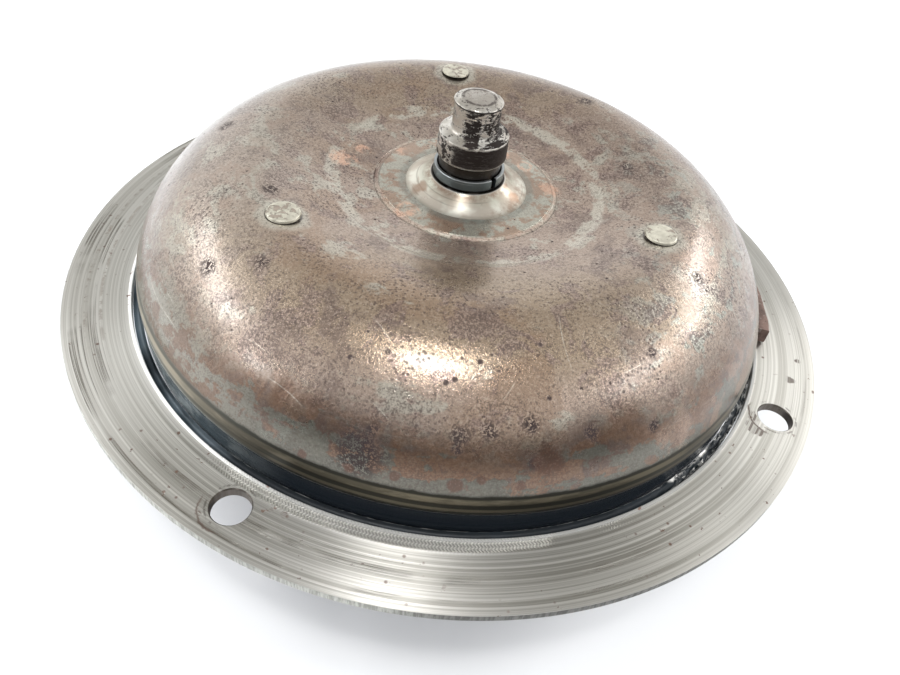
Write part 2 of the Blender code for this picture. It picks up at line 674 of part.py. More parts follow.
def spline_cutter(name, teeth, tip, root, low, high):
    """Makes the cutter for the spaces between the teeth of a splined bore."""
    pitch = 360 / teeth
    outline = []
    for angle in around(teeth):
        for radius, share in ((tip - SEAT, -0.27), (root, -0.2), (root, 0.2), (tip - SEAT, 0.27)):
            outline.append(polar(radius, angle + share * pitch))
    return add_cutter(name, prisms(name, [outline], low, high))


def make_washers():
    """Adds the three thrust washers that space the wheels along the axis."""
    bronze = metal("washer_bronze", (0.58, 0.43, 0.24), 0.4)
    front_z = HUB_TOP_Z + SEAT
    middle_z = CIRCUIT_Z + RACE_HALF + SEAT
    rear_z = CIRCUIT_Z - RACE_HALF - SEAT - WASHER_THICKNESS
    for name, low, height, carrier in (("front_thrust_washer", front_z, FRONT_WASHER_THICKNESS, None),
                                       ("middle_thrust_washer", middle_z, WASHER_THICKNESS, TURBINE_AXIS),
                                       ("rear_thrust_washer", rear_z, WASHER_THICKNESS, None)):
        turned(name, ring_section(WASHER_BORE, HUB_BOSS_RADIUS, low, low + height), bronze,
               SMALL_STEPS, carrier)


def make_inner_race():
    """Adds the splined race that the gearbox's fixed tube holds still."""
    chamfer = TRACK_CLEARANCE / 2
    low, high = CIRCUIT_Z - RACE_HALF, CIRCUIT_Z + RACE_HALF
    section = [(RACE_SPLINE_RADIUS, high), (TRACK_RADIUS - chamfer, high), (TRACK_RADIUS, high - chamfer),
               (TRACK_RADIUS, low + chamfer), (TRACK_RADIUS - chamfer, low), (RACE_SPLINE_RADIUS, low)]
    race = turned("freewheel_inner_race", section, metal("race_steel", (0.52, 0.52, 0.52), 0.22),
                  WHEEL_STEPS, RACE_AXIS)
    spaces = spline_cutter("race_splines", RACE_SPLINES, RACE_SPLINE_RADIUS,
                           RACE_SPLINE_RADIUS + RACE_SPLINE_DEPTH, low - SEAT, high + SEAT)
    combine(race, spaces, "DIFFERENCE")


def make_freewheel():
    """Adds the roller freewheel inside the stator: cam ring, rollers, springs and their covers."""
    low, high = CIRCUIT_Z - CAM_HALF, CIRCUIT_Z + CAM_HALF
    cam = turned("freewheel_cam", ring_section(TRACK_RADIUS + TRACK_CLEARANCE, CAM_RADIUS, low, high),
                 metal("cam_steel", (0.45, 0.45, 0.45), 0.3), carrier=STATOR_AXIS)
    half_roller = math.degrees(math.asin((ROLLER_RADIUS + SEAT) / ROLLER_CIRCLE))
    spring_room = math.degrees((SPRING_LENGTH + 2 * SEAT) / ROLLER_CIRCLE)
    ramp = ROLLER_CIRCLE + ROLLER_RADIUS + SEAT
    pockets = []
    for angle in around(ROLLERS):
        pocket = [polar(TRACK_RADIUS, angle - half_roller)]
        for share in (-1.0, -0.5, 0.0, 0.5, 1.0):
            rise = RAMP_RISE * min(share + 1.0, 1.0) - RAMP_RISE * (share == -1.0)
            pocket.append(polar(ramp + rise, angle + share * half_roller))
        pocket.append(polar(ramp, angle + half_roller + spring_room))
        pocket.append(polar(TRACK_RADIUS, angle + half_roller + spring_room))
        pockets.append(pocket)
    cutter = add_cutter("cam_pockets", prisms("cam_pockets", pockets, low - SEAT, high + SEAT))
    combine(cam, cutter, "DIFFERENCE")

    roller_steel = metal("roller_steel", (0.60, 0.60, 0.60), 0.15)
    roller_mesh = prisms("freewheel_roller", [circle((0, 0), ROLLER_RADIUS, 16)],
                         -ROLLER_LENGTH / 2, ROLLER_LENGTH / 2)
    spring_steel = metal("spring_steel", (0.40, 0.40, 0.42), 0.3)
    spring_mesh = accordion_mesh("freewheel_spring")
    for number, angle in enumerate(around(ROLLERS), 1):
        roller = add_part(f"freewheel_roller_{number}", roller_mesh, roller_steel)
        roller.parent = STATOR_AXIS
        roller.location = (*polar(ROLLER_CIRCLE, angle), 0)
        spring = add_part(f"freewheel_spring_{number}", spring_mesh, spring_steel)
        spring.parent = STATOR_AXIS
        middle = angle + half_roller + spring_room / 2
        spring.location = (*polar(ROLLER_CIRCLE, middle), 0)
        spring.rotation_euler.z = math.radians(middle + 90)
        fold = spring.modifiers.new("sheet", "SOLIDIFY")
        fold.thickness = SPRING_SHEET
        fold.offset = 0

    plate_alloy = metal("side_plate_steel", (0.48, 0.47, 0.45), 0.35)
    ring_steel = metal("stator_ring_steel", (0.32, 0.32, 0.33), 0.35)
    plate_bore = TRACK_RADIUS + TRACK_CLEARANCE / 2
    for side, place in ((1, "front"), (-1, "rear")):
        near = CIRCUIT_Z + side * (CAM_HALF + SEAT)
        far = near + side * SIDE_PLATE
        turned(f"{place}_side_plate", ring_section(plate_bore, CAM_RADIUS, min(near, far), max(near, far)),
               plate_alloy, WHEEL_STEPS, STATOR_AXIS)
        near = far + side * SEAT
        far = near + side * STATOR_RING
        section = ring_section(STATOR_BORE - STATOR_RING_DEPTH, STATOR_BORE + STATOR_RING_DEPTH - SEAT,
                               min(near, far), max(near, far))
        ring = swept_mesh(f"{place}_stator_ring", section, STATOR_RING_GAP / 2, 360 - STATOR_RING_GAP,
                          SMALL_STEPS)
        add_part(f"{place}_stator_ring", ring, ring_steel, STATOR_AXIS)


def accordion_mesh(name):
    """Makes the folded strip that pushes a roller towards the narrow end of its pocket."""
    mesh = bpy.data.meshes.new(name)
    pitch = (SPRING_LENGTH - SPRING_SHEET) / SPRING_FOLDS
    points = []
    for fold in range(SPRING_FOLDS + 1):
        x = (fold - SPRING_FOLDS / 2) * pitch
        y = (SPRING_HEIGHT / 2) * (-1) ** fold
        points += [(x, y, -SPRING_WIDTH / 2), (x, y, SPRING_WIDTH / 2)]
    faces = [(2 * i, 2 * i + 2, 2 * i + 3, 2 * i + 1) for i in range(SPRING_FOLDS)]
    mesh.from_pydata(points, [], faces)
    return mesh


def stator_half_width(radius):
    """Gives how far a stator blade may reach along the axis between the two wheels."""
    reach = (CIRCUIT_CENTRE - radius) * math.tan(math.radians(180 - VANE_LAST_ANGLE))
    return min(reach - STATOR_RUNNING_GAP, STATOR_HALF - SEAT)


def blade_outline(radius):
    """Gives the section of a stator blade as (round, axial) pairs: a cambered teardrop."""
    half = stator_half_width(radius)
    stations = ((1.0, 0.08), (0.6, 0.5), (-0.1, 0.38), (-1.0, 0.06))
    sides = []
    for side in (1, -1):
        line = []
        for share, width in stations:
            camber = STATOR_BLADE_CAMBER * (1 - share) ** 2 / 2
            line.append((camber + side * width * STATOR_BLADE_THICKNESS, share * half))
        sides.append(line)
    return sides[0] + sides[1][::-1]


def make_stator():
    """Adds the cast stator wheel: hub, blades and outer band in one casting."""
    groove_low = RACE_HALF
    groove_high = RACE_HALF + STATOR_RING + 2 * SEAT
    groove = STATOR_BORE + STATOR_RING_DEPTH
    section = [(STATOR_HUB_RADIUS, STATOR_HALF), (STATOR_HUB_RADIUS, -STATOR_HALF)]
    inside = [(STATOR_BORE, STATOR_HALF), (STATOR_BORE, groove_high), (groove, groove_high),
              (groove, groove_low), (STATOR_BORE, groove_low)]
    section += [(radius, -z) for radius, z in inside] + inside[::-1]
    wheel = turned("stator_wheel", [(radius, CIRCUIT_Z + z) for radius, z in section],
                   metal("stator_aluminium", (0.62, 0.62, 0.61), 0.45), WHEEL_STEPS, STATOR_AXIS)
    core_edge = circuit_point(CORE_RADIUS, VANE_LAST_ANGLE)[0]
    band_radius = core_edge - STATOR_BAND_CLEARANCE
    band_half = stator_half_width(band_radius)
    bm = bmesh.new()
    for turn in around(STATOR_BLADES):
        rows = []
        for radius in (STATOR_HUB_RADIUS - STATOR_BAND, band_radius - STATOR_BAND / 2):
            swings = [(turn + math.degrees(x / radius), z) for x, z in blade_outline(radius)]
            rows.append([bm.verts.new((*polar(radius, swing), CIRCUIT_Z + z)) for swing, z in swings])
        bm.faces.new(rows[0])
        bm.faces.new(rows[1][::-1])
        for i in range(len(rows[0])):
            bm.faces.new((rows[0][i - 1], rows[0][i], rows[1][i], rows[1][i - 1]))
    bmesh.ops.recalc_face_normals(bm, faces=bm.faces)
    mesh = bpy.data.meshes.new("stator_blades")
    bm.to_mesh(mesh)
    bm.free()
    combine(wheel, add_cutter("stator_blades", mesh), "UNION")
    band_mesh = turned_mesh("stator_band", ring_section(band_radius - STATOR_BAND, band_radius,
                                                        CIRCUIT_Z - band_half, CIRCUIT_Z + band_half))
    band = add_cutter("stator_band", band_mesh)
    spin_profile(band, WHEEL_STEPS)
    combine(wheel, band, "UNION")


make_front_cover()
make_pilot_stub()
make_flange()
make_pump_shell()
make_vane_ring("pump_vane_ring", -1, PUMP_VANES, pump_lean, metal("pump_vane_steel", (0.42, 0.41, 0.40), 0.4))
make_hub_neck()
make_turbine()
make_washers()
make_inner_race()
make_freewheel()
make_stator()
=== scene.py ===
import math

import bmesh
import bpy
import numpy as np
from mathutils import Matrix, Vector, noise


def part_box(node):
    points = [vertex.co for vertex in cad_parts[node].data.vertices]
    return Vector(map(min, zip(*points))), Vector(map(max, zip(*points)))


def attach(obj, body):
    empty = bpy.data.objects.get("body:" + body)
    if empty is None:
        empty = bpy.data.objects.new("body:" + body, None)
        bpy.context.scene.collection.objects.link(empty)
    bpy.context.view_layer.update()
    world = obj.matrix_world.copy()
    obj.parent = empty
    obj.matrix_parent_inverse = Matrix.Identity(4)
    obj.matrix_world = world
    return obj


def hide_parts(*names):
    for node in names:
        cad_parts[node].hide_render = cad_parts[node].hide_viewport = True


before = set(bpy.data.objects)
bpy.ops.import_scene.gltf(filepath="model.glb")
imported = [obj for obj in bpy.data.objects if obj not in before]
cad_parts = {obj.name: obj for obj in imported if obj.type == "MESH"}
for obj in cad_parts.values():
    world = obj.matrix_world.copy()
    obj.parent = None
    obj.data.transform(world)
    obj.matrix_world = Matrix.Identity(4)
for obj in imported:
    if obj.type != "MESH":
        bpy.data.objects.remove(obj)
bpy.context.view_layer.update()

# The camera looks down on the engine side from in front, a little rolled, as the converter was
# photographed. Its place was solved from the circles of the flange, the groove and the pilot stub.
flange_top = 0.056
camera = bpy.data.objects.new("camera", bpy.data.cameras.new("camera"))
bpy.context.scene.collection.objects.link(camera)
camera.location = (0, -0.19797, flange_top + 0.16249)
camera.rotation_euler = [math.radians(angle) for angle in (45.2402, -6.7608, 5.8415)]
camera.data.sensor_width = 36
camera.data.lens = 30.42
camera.data.clip_start = 0.01
bpy.context.scene.camera = camera
bpy.context.scene.view_settings.view_transform = "Standard"


# A white table carries the converter on its hub neck, in a pale room with soft panels of light.
# A dark card low in front stands for the unlit side of the room, so that the metal has something
# dark to mirror.
class Finish:
    """A socket of a finish: sums on it add Math nodes, and node() adds any other node."""

    def __init__(self, tree, socket=None):
        self.tree = tree
        self.socket = socket

    def node(self, kind, settings=(), sockets=(), output=0):
        """Adds a node: its settings are made first, then its sockets get values or links."""
        node = self.tree.nodes.new("ShaderNode" + kind)
        for name, setting in dict(settings).items():
            setattr(node, name, setting)
        for name, value in dict(sockets).items():
            if isinstance(value, Finish):
                self.tree.links.new(value.socket, node.inputs[name])
            else:
                node.inputs[name].default_value = value
        return Finish(self.tree, node.outputs[output] if node.outputs else None)

    def maths(self, operation, *others):
        """Adds a Math node whose first term is this socket."""
        return self.node("Math", {"operation": operation}, enumerate((self, *others)))

    def __add__(self, other):
        return self.maths("ADD", other)

    __radd__ = __add__

    def __sub__(self, other):
        return self.maths("SUBTRACT", other)

    def __rsub__(self, other):
        return self.node("Math", {"operation": "SUBTRACT"}, {0: other, 1: self})

    def __mul__(self, other):
        return self.maths("MULTIPLY", other)

    __rmul__ = __mul__

    def __truediv__(self, other):
        return self.maths("DIVIDE", other)

    def __abs__(self):
        return self.maths("ABSOLUTE")

    def either(self, other):
        """Is the larger of two masks."""
        return self.maths("MAXIMUM", other)

    def fade(self, low, high):
        """Goes smoothly from 0 at low to 1 at high; low may be the larger."""
        sockets = {"Value": self, "From Min": low, "From Max": high}
        return self.node("MapRange", {"interpolation_type": "SMOOTHSTEP"}, sockets)

    def band(self, middle, width, soft):
        """Is 1 within half the width of a middle value, and fades out beyond."""
        return abs(self - middle).fade(width / 2 + soft, width / 2)

    def over(self, colour, under):
        """Lays a colour over another one where this mask is 1."""
        return self.node("Mix", {"data_type": "RGBA"}, {0: self, 6: under, 7: colour}, 2)


def rgb(red, green, blue):
    """Gives a colour for a socket."""
    return (red, green, blue, 1.0)


def table_finish():
    """Makes a white that the camera sees clean, keeps the shadow and runs out into pure white."""
    material = bpy.data.materials.new("white_table")
    material.use_nodes = True
    material.node_tree.nodes.clear()
    start = Finish(material.node_tree)
    shown = [start.node("LightPath", output=name)
             for name in ("Is Camera Ray", "Is Glossy Ray", "Is Transmission Ray")]
    seen = shown[0] + shown[1] + shown[2]
    glow = start.node("Emission", (), {"Color": rgb(0.70, 0.90, 1.30), "Strength": seen * 0.06})
    white = start.node("BsdfDiffuse", (), {"Color": rgb(0.66, 0.67, 0.68)})
    near_table = start.node("AddShader", (), {0: white, 1: glow})
    place = start.node("TexCoord", output="Object")
    far = place.node("VectorMath", {"operation": "LENGTH"}, {0: place}, "Value").fade(0.45, 0.95)
    clear = start.node("Emission", (), {"Color": rgb(1.0, 1.0, 1.0), "Strength": 1.0})
    whole = start.node("MixShader", (), {0: far * seen, 1: near_table, 2: clear})
    start.node("OutputMaterial", (), {"Surface": whole})
    return material


table_half = 3.0
table = bpy.data.objects.new("table", bpy.data.meshes.new("table"))
table.data.from_pydata([(x * table_half, y * table_half, 0) for x, y in ((-1, -1), (1, -1), (1, 1), (-1, 1))],
                       [], [(0, 1, 2, 3)])
table.data.materials.append(table_finish())
bpy.context.scene.collection.objects.link(table)

room = bpy.data.worlds.new("room")
room.use_nodes = True
bpy.context.scene.world = room
sky = room.node_tree.nodes["Background"]
sky.inputs["Color"].default_value = rgb(1.0, 0.99, 0.965)
direction = Finish(room.node_tree).node("TexCoord", output="Generated")
aside, rise = (direction.node("SeparateXYZ", (), {0: direction}, axis) for axis in "XZ")
ceiling = rise.fade(0.36, 0.72) * (0.46 - abs(aside).fade(0.30, 0.65) * 0.30)
room.node_tree.links.new((1.08 - ceiling).socket, sky.inputs["Strength"])


def facing(azimuth, elevation):
    """Gives the unit direction at an azimuth and an elevation in degrees."""
    turn, up = math.radians(azimuth), math.radians(elevation)
    return Vector((math.cos(turn) * math.cos(up), math.sin(turn) * math.cos(up), math.sin(up)))


def panel_light(name, azimuth, elevation, distance, width, height, power, colour, mirrored=True):
    """Hangs a soft rectangular light that faces the converter; metal need not mirror it."""
    lamp = bpy.data.lights.new(name, "AREA")
    lamp.shape = "RECTANGLE"
    lamp.size = width
    lamp.size_y = height
    lamp.energy = power
    lamp.color = colour
    light = bpy.data.objects.new(name, lamp)
    away = facing(azimuth, elevation)
    light.location = Vector((0, 0, 0.08)) + away * distance
    light.rotation_euler = away.to_track_quat("Z", "Y").to_euler()
    light.visible_glossy = mirrored
    bpy.context.scene.collection.objects.link(light)


panel_light("overhead_lamp", -96, 67, 1.2, 0.12, 0.07, 2.0, (1.0, 0.99, 0.985))
panel_light("overhead_glow", -96, 70, 1.25, 0.34, 0.11, 2.4, (1.0, 0.985, 0.965))
panel_light("left_window", 176, 26, 1.4, 0.90, 0.24, 3.0, (0.97, 0.98, 1.0))
panel_light("right_window", 30, 27, 1.4, 0.90, 0.17, 3.3, (1.0, 0.985, 0.965))
panel_light("right_gap", -9, 32, 1.4, 0.60, 0.18, 1.6, (1.0, 0.98, 0.95))
panel_light("left_gap", -144, 19, 1.4, 0.46, 0.16, 2.0, (0.97, 0.98, 1.0))
panel_light("left_fill", 185, 50, 1.4, 0.5, 0.5, 13.0, (1.0, 1.0, 1.0), False)
panel_light("right_fill", 0, 50, 1.4, 0.5, 0.5, 11.0, (1.0, 1.0, 1.0), False)

card_radius = 0.62
card_height = 0.34
card_mesh = bpy.data.meshes.new("dark_card")
card_turns = np.linspace(-140, -22, 25)
card_mesh.from_pydata([card_radius * facing(turn, 0) + Vector((0, 0, level))
                       for turn in card_turns for level in (0.001, card_height)], [],
                      [(2 * i, 2 * i + 2, 2 * i + 3, 2 * i + 1) for i in range(len(card_turns) - 1)])
card_finish = bpy.data.materials.new("dark_card")
card_finish.use_nodes = True
card_shader = card_finish.node_tree.nodes["Principled BSDF"]
card_shader.inputs["Base Color"].default_value = rgb(0.03, 0.03, 0.03)
card_shader.inputs["Roughness"].default_value = 0.9
card_mesh.materials.append(card_finish)
card = bpy.data.objects.new("dark_card", card_mesh)
bpy.context.scene.collection.objects.link(card)
card.visible_camera = False
card.visible_shadow = False
card.visible_diffuse = False

# The front cover is drawn from one sheet of steel: a dished middle, a round crown and a deep wall.
# Outside it is as pressed, gone brown with rust and worn back to grey in places. The foot of the
# wall is turned bright where the flange ring was pushed on and welded.
crown_radius = 0.0636
crown_height = 0.0972
wall_radius = 0.0982
turned_radius = 0.0978
wall_foot = flange_top + 0.0072
skirt_foot = 0.049
skirt_bore = 0.0943
cover_wall = 0.0035
dish_height = 0.0906
stub_foot_radius = 0.0184
disc_radius = 0.0268
dish_ring_radius = 0.0417
dish_ring_height = 0.0926
shoulder_exponent = 1.71
rivet_circle = 0.0596
rivet_angles = [99.5, 219.5, 339.5]


def rounded(line, cuts=4):
    """Rounds the corners of a half section; each point is (radius, height, rounding)."""
    points = []
    for place, (radius, height, rounding) in enumerate(line):
        corner = Vector((radius, height))
        if rounding <= 0 or place in (0, len(line) - 1):
            points.append((radius, height))
            continue
        sides = []
        for other in (line[place - 1], line[place + 1]):
            side = Vector(other[:2]) - corner
            sides.append(side.normalized() * min(rounding, 0.49 * side.length))
        for step in range(cuts + 1):
            share = step / cuts
            point = corner + sides[0] * (1 - share) ** 2 + sides[1] * share ** 2
            points.append((point.x, point.y))
    return points


def settle(piece):
    """Makes a piece's modifiers part of its mesh."""
    bpy.context.view_layer.update()
    evaluated = piece.evaluated_get(bpy.context.evaluated_depsgraph_get())
    mesh = bpy.data.meshes.new_from_object(evaluated)
    piece.modifiers.clear()
    piece.data = mesh


def smooth(mesh, sharp=38.0):
    """Shades a mesh smooth, apart from its sharp edges."""
    mesh.shade_smooth()
    mesh.set_sharp_from_angle(angle=math.radians(sharp))


def turned_mesh(line, steps=256, closed=True):
    """Turns a half section, which runs down the outer side, into a mesh."""
    flat = bpy.data.meshes.new("half_section")
    edges = [(i, i + 1) for i in range(len(line) - 1)]
    if closed:
        edges.append((len(line) - 1, 0))
    flat.from_pydata([(radius, 0, height) for radius, height in line], edges, [])
    blank = bpy.data.objects.new("blank", flat)
    bpy.context.scene.collection.objects.link(blank)
    screw = blank.modifiers.new("turned", "SCREW")
    screw.steps = steps
    screw.use_merge_vertices = True
    screw.merge_threshold = 0.000005
    settle(blank)
    mesh = blank.data
    bpy.data.objects.remove(blank)
    return mesh


def cut(piece, cutter_mesh):
    """Cuts a closed shape out of a piece."""
    cutter = bpy.data.objects.new(piece.name + "_cutter", cutter_mesh)
    bpy.context.scene.collection.objects.link(cutter)
    step = piece.modifiers.new("cut", "BOOLEAN")
    step.operation = "DIFFERENCE"
    step.solver = "EXACT"
    step.object = cutter
    settle(piece)
    bpy.data.objects.remove(cutter)


def new_piece(name, mesh, finish, body, replaced):
    """Adds a finished piece that rides on a body and stands for a node of the solid model."""
    mesh.name = name
    mesh.materials.append(finish)
    smooth(mesh)
    piece = bpy.data.objects.new(name, mesh)
    bpy.context.scene.collection.objects.link(piece)
    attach(piece, body)
    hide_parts(replaced)
    return piece


def levels(node):
    """Gives the lowest and the highest level of a node of the solid model."""
    low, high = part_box(node)
    return low.z, high.z


def at(radius, azimuth, height):
    """Gives the point at a radius, an azimuth in degrees and a height."""
    turn = math.radians(azimuth)
    return (radius * math.cos(turn), radius * math.sin(turn), height)


def shoulder(crown, rim_radius, rim_height, cuts):
    """Gives the cover's shoulder, from the crown out to its wall."""
    points = []
    for turn in np.linspace(math.pi / 2, 0, cuts + 1):
        out = max(math.cos(turn), 0) ** (2 / shoulder_exponent)
        up = max(math.sin(turn), 0) ** (2 / shoulder_exponent)
        radius = crown_radius + (rim_radius - crown_radius) * out
        points.append((radius, rim_height + (crown - rim_height) * up))
    return points


def dish(start, crown, cuts):
    """Gives the smooth rise from the dish ring to just before the crown."""
    slope = 0.17
    width = crown_radius - dish_ring_radius
    points = []
    for share in np.linspace(0, 1, cuts, endpoint=False):
        rise = share * share * (3 - 2 * share)
        lead = share * (1 - share) ** 2 * width * slope
        points.append((dish_ring_radius + share * width, start + (crown - start) * rise + lead))
    return points


cover_outside = rounded([
    (stub_foot_radius, dish_height, 0),
    (disc_radius - 0.0001, dish_height, 0.0006),
    (disc_radius + 0.0007, dish_height - 0.0006, 0.0005),
    (dish_ring_radius - 0.0010, dish_ring_height - 0.0001, 0.0012),
    (dish_ring_radius - 0.0002, dish_ring_height + 0.0004, 0.0004),
])
cover_outside += dish(dish_ring_height + 0.0005, crown_height, 14)[1:]
cover_outside += shoulder(crown_height, wall_radius, wall_foot, 40)
cover_foot = rounded([
    (wall_radius, wall_foot, 0),
    (wall_radius, wall_foot - 0.0004, 0.0003),
    (turned_radius - 0.0001, wall_foot - 0.0014, 0.0006),
    (turned_radius - 0.0002, wall_foot - 0.0042, 0.0015),
    (turned_radius, flange_top + 0.0010, 0.0012),
    (turned_radius, skirt_foot, 0),
])
cover_inside = [(skirt_bore, skirt_foot)]
cover_inside += shoulder(crown_height - cover_wall, skirt_bore, wall_foot, 16)[::-1]
cover_inside += dish(dish_ring_height - cover_wall, crown_height - cover_wall, 6)[::-1]
cover_inside += [(disc_radius, dish_height - cover_wall), (stub_foot_radius, dish_height - cover_wall)]


def on_cover(radius, azimuth):
    """Gives the point of the cover's outside at a radius and an azimuth in degrees."""
    height = np.interp(radius, *zip(*cover_outside))
    return at(radius, azimuth, float(height))


def new_finish(name, paint):
    """Makes a material: paint turns the place on the piece into values of the shader's sockets."""
    material = bpy.data.materials.new(name)
    material.use_nodes = True
    tree = material.node_tree
    shader = tree.nodes["Principled BSDF"]
    place = Finish(tree).node("TexCoord", output="Object")
    for socket, value in paint(place).items():
        if isinstance(value, Finish):
            tree.links.new(value.socket, shader.inputs[socket])
        else:
            shader.inputs[socket].default_value = value
    return material


def parts_of(place):
    """Splits a place into X, Y, height, and its distance from the axis."""
    x, y, height = (place.node("SeparateXYZ", (), {0: place}, axis) for axis in "XYZ")
    return x, y, height, (x * x + y * y).maths("SQRT")


def mottle(place, size, detail=4.0, roughness=0.55, twist=0.0):
    """Gives cloudy noise with clouds of about this size."""
    return place.node("TexNoise", (), {"Vector": place, "Scale": 0.6 / size, "Detail": detail,
                                       "Roughness": roughness, "Distortion": twist})


def ringed(parts, path, along, across, detail, roughness, reach=0.1):
    """Gives noise drawn out round the axis.

    Its streaks are this long at a distance of reach from the axis, and this wide along the path.
    """
    x, y, height, radius = parts
    share = reach / along
    place = x.node("CombineXYZ", (), {0: x / radius * share, 1: y / radius * share, 2: path * (1 / across)})
    return mottle(place, 1.0, detail, roughness)


def specks(place, spacing, share):
    """Is 1 in the middle of small round spots, and 0 outside them."""
    return place.node("TexVoronoi", (), {"Vector": place, "Scale": 1 / spacing}).fade(share, 0.35 * share)


def reach_from(place, centre):
    """Gives the distance from a point."""
    return place.node("VectorMath", {"operation": "DISTANCE"}, {0: place, 1: centre}, "Value")


def blot(place, centre, size, ragged):
    """Is 1 in a ragged blot round a point."""
    return (reach_from(place, centre) + (ragged - 0.5) * size * 1.7).fade(size, 0.6 * size)


def scratch(place, middle, toward, length, bow, width=0.00016):
    """Is 1 in a thin scratch through a point, bent to this radius."""
    centre = Vector(middle) + bow * facing(toward + 90, 0)
    line = abs(reach_from(place, centre) - abs(bow)).fade(width, 0.3 * width)
    return line * reach_from(place, middle).fade(0.5 * length, 0.3 * length)


def relief(height, depth, under=None):
    """Gives the normal of a surface that rises by this depth where the height is 1."""
    sockets = {"Strength": 1.0, "Distance": depth, "Height": height}
    if under:
        sockets["Normal"] = under
    return height.node("Bump", (), sockets)


def layered(colour, *coats):
    """Lays coats over a colour; each is a mask and the colour that it brings."""
    for mask, tint in coats:
        colour = mask.over(tint, colour)
    return colour


def any_of(masks):
    """Is the largest of some masks."""
    largest, *others = masks
    for mask in others:
        largest = largest.either(mask)
    return largest


def cover_paint(place):
    """Brown rust on pressed steel, worn back to grey-green steel in patches."""
    parts = parts_of(place)
    x, y, height, radius = parts
    clouds = mottle(place, 0.030, 4, 0.6, 0.8)
    patches = mottle(place, 0.010, 5, 0.62, 0.5)
    blotches = mottle(place, 0.0055, 4, 0.62, 0.6)
    flecks = mottle(place, 0.0030, 4, 0.65, 0.4)
    grain = mottle(place, 0.00048, 3, 0.72)
    dust = mottle(place, 0.00024, 2, 0.6)
    speckle = grain * 0.7 + dust * 0.3
    streaks = ringed(parts, height - radius, 0.009, 0.0022, 5, 0.65)
    smears = ringed(parts, radius, 0.014, 0.0045, 5, 0.62)
    sheets = ringed(parts, height - radius, 0.024, 0.0075, 5, 0.62)
    low = (height + (clouds - 0.5) * 0.014).fade(flange_top + 0.031, flange_top + 0.022)
    right = x.fade(0.030, 0.070)
    left = x.fade(-0.030, -0.070)

    # The crown: brown, ochre in front and behind, greyer at the sides, with painted shade darkening the back.
    ochre = (y + (clouds - 0.5) * 0.05).fade(-0.030, -0.056) * radius.fade(0.086, 0.076)
    ochre = ochre.either((y - x * 0.3 + (clouds - 0.5) * 0.04).fade(0.030, 0.046) * 0.8)
    pale = smears * 0.6 + patches * 0.4 + left * 0.03 + right * 0.02 - ochre * 0.06
    pale = pale.fade(0.535, 0.585)
    worn = (sheets * 0.5 + flecks * 0.5).fade(0.53, 0.57) * right.either(low * 0.8)
    crust = (sheets * 0.3 + blotches * 0.7).fade(0.545, 0.585) * right.either(low * 0.5)
    tanned = (sheets * 0.5 + blotches * 0.5).fade(0.47, 0.42) * right.either(left * 0.8)
    # Painted shade: the back of the crown, and more so the back right, is darkened.
    shaded_rear = (y.fade(-0.030, 0.020) * 0.22).either(y.fade(-0.020, 0.010) * x.fade(0.015, 0.045) * 0.40)
    painted_upper_shade = radius.fade(0.040, 0.060) * shaded_rear
    colour = layered(
        rgb(0.322, 0.246, 0.200),
        (ochre, rgb(0.290, 0.218, 0.152)),
        (clouds.fade(0.52, 0.62) * 0.5, rgb(0.27, 0.170, 0.105)),
        (blotches.fade(0.53, 0.60) * 0.45, rgb(0.225, 0.150, 0.142)),
        (patches.fade(0.46, 0.37) * 0.60, rgb(0.150, 0.103, 0.088)),
        ((left + right * 0.6) * 0.55, rgb(0.350, 0.305, 0.260)),
        (pale * 0.65, rgb(0.42, 0.41, 0.35)),
        (worn * 0.8, rgb(0.32, 0.345, 0.31)),
        (crust * 0.7 * grain.fade(0.40, 0.50), rgb(0.105, 0.072, 0.070)),
        (tanned * 0.45, rgb(0.285, 0.190, 0.140)),
        (painted_upper_shade * (1 - right * 0.3), rgb(0.130, 0.088, 0.064)),
    )

    # The wall: dark rust in islands on steel that is greyer at the left.
    sunk = height - (wall_foot + 0.0125)
    islands = (sheets * 0.6 + flecks * 0.4 + sunk * 8).fade(0.485, 0.520)
    rust = layered(
        rgb(0.092, 0.058, 0.046),
        ((sheets * 0.5 + blotches * 0.5).fade(0.47, 0.55), rgb(0.152, 0.084, 0.050)),
        (left * 0.8, rgb(0.195, 0.130, 0.092)),
    )
    wall = layered(
        rgb(0.100, 0.103, 0.085),
        (left * 0.9, rgb(0.270, 0.255, 0.212)),
        (islands, rust),
        (right * patches.fade(0.50, 0.57) * 0.6, rgb(0.27, 0.170, 0.120)),
    )

    # The dish: a rubbed ring, the disc in the middle with its edge, painted shade round the stub's foot and
    # orange stains.
    ragged = (smears - 0.5) * 0.006
    dish_ring = (radius + ragged).band(0.0402, 0.0026, 0.0014) * streaks.fade(0.43, 0.53)
    disc_edge = radius.band(disc_radius + 0.0009, 0.0004, 0.0007) * streaks.fade(0.42, 0.52)
    disc = radius.fade(disc_radius + 0.0004, disc_radius - 0.0006)
    tarnish = (streaks * 0.5 + blotches * 0.5).fade(0.46, 0.53)
    # Painted shade: a darker ring on the disc round the foot of the stub.
    painted_stub_shade = (radius + (streaks - 0.5) * 0.002).fade(0.0212, 0.0198)
    orange = any_of(blot(place, on_cover(radius_mm / 1000, azimuth), size / 1000, flecks)
                    for radius_mm, azimuth, size in (
                        (38.0, 178, 5.5), (24.0, -131, 4.5), (25.5, 10, 4.5), (34.5, 165, 3.0),
                        (25.0, 150, 3.0), (22.5, 40, 3.4), (22.5, 62, 3.0)))
    orange = orange * (streaks * 0.5 + flecks * 0.5).fade(0.44, 0.54)

    # Round each rivet the steel is rubbed pale, with a painted shadow line against the head.
    heads, *others = (reach_from(place, on_cover(rivet_circle, angle)) for angle in rivet_angles)
    for other in others:
        heads = heads.maths("MINIMUM", other)
    halo = (heads + (flecks - 0.5) * 0.005).fade(0.0084, 0.0056)

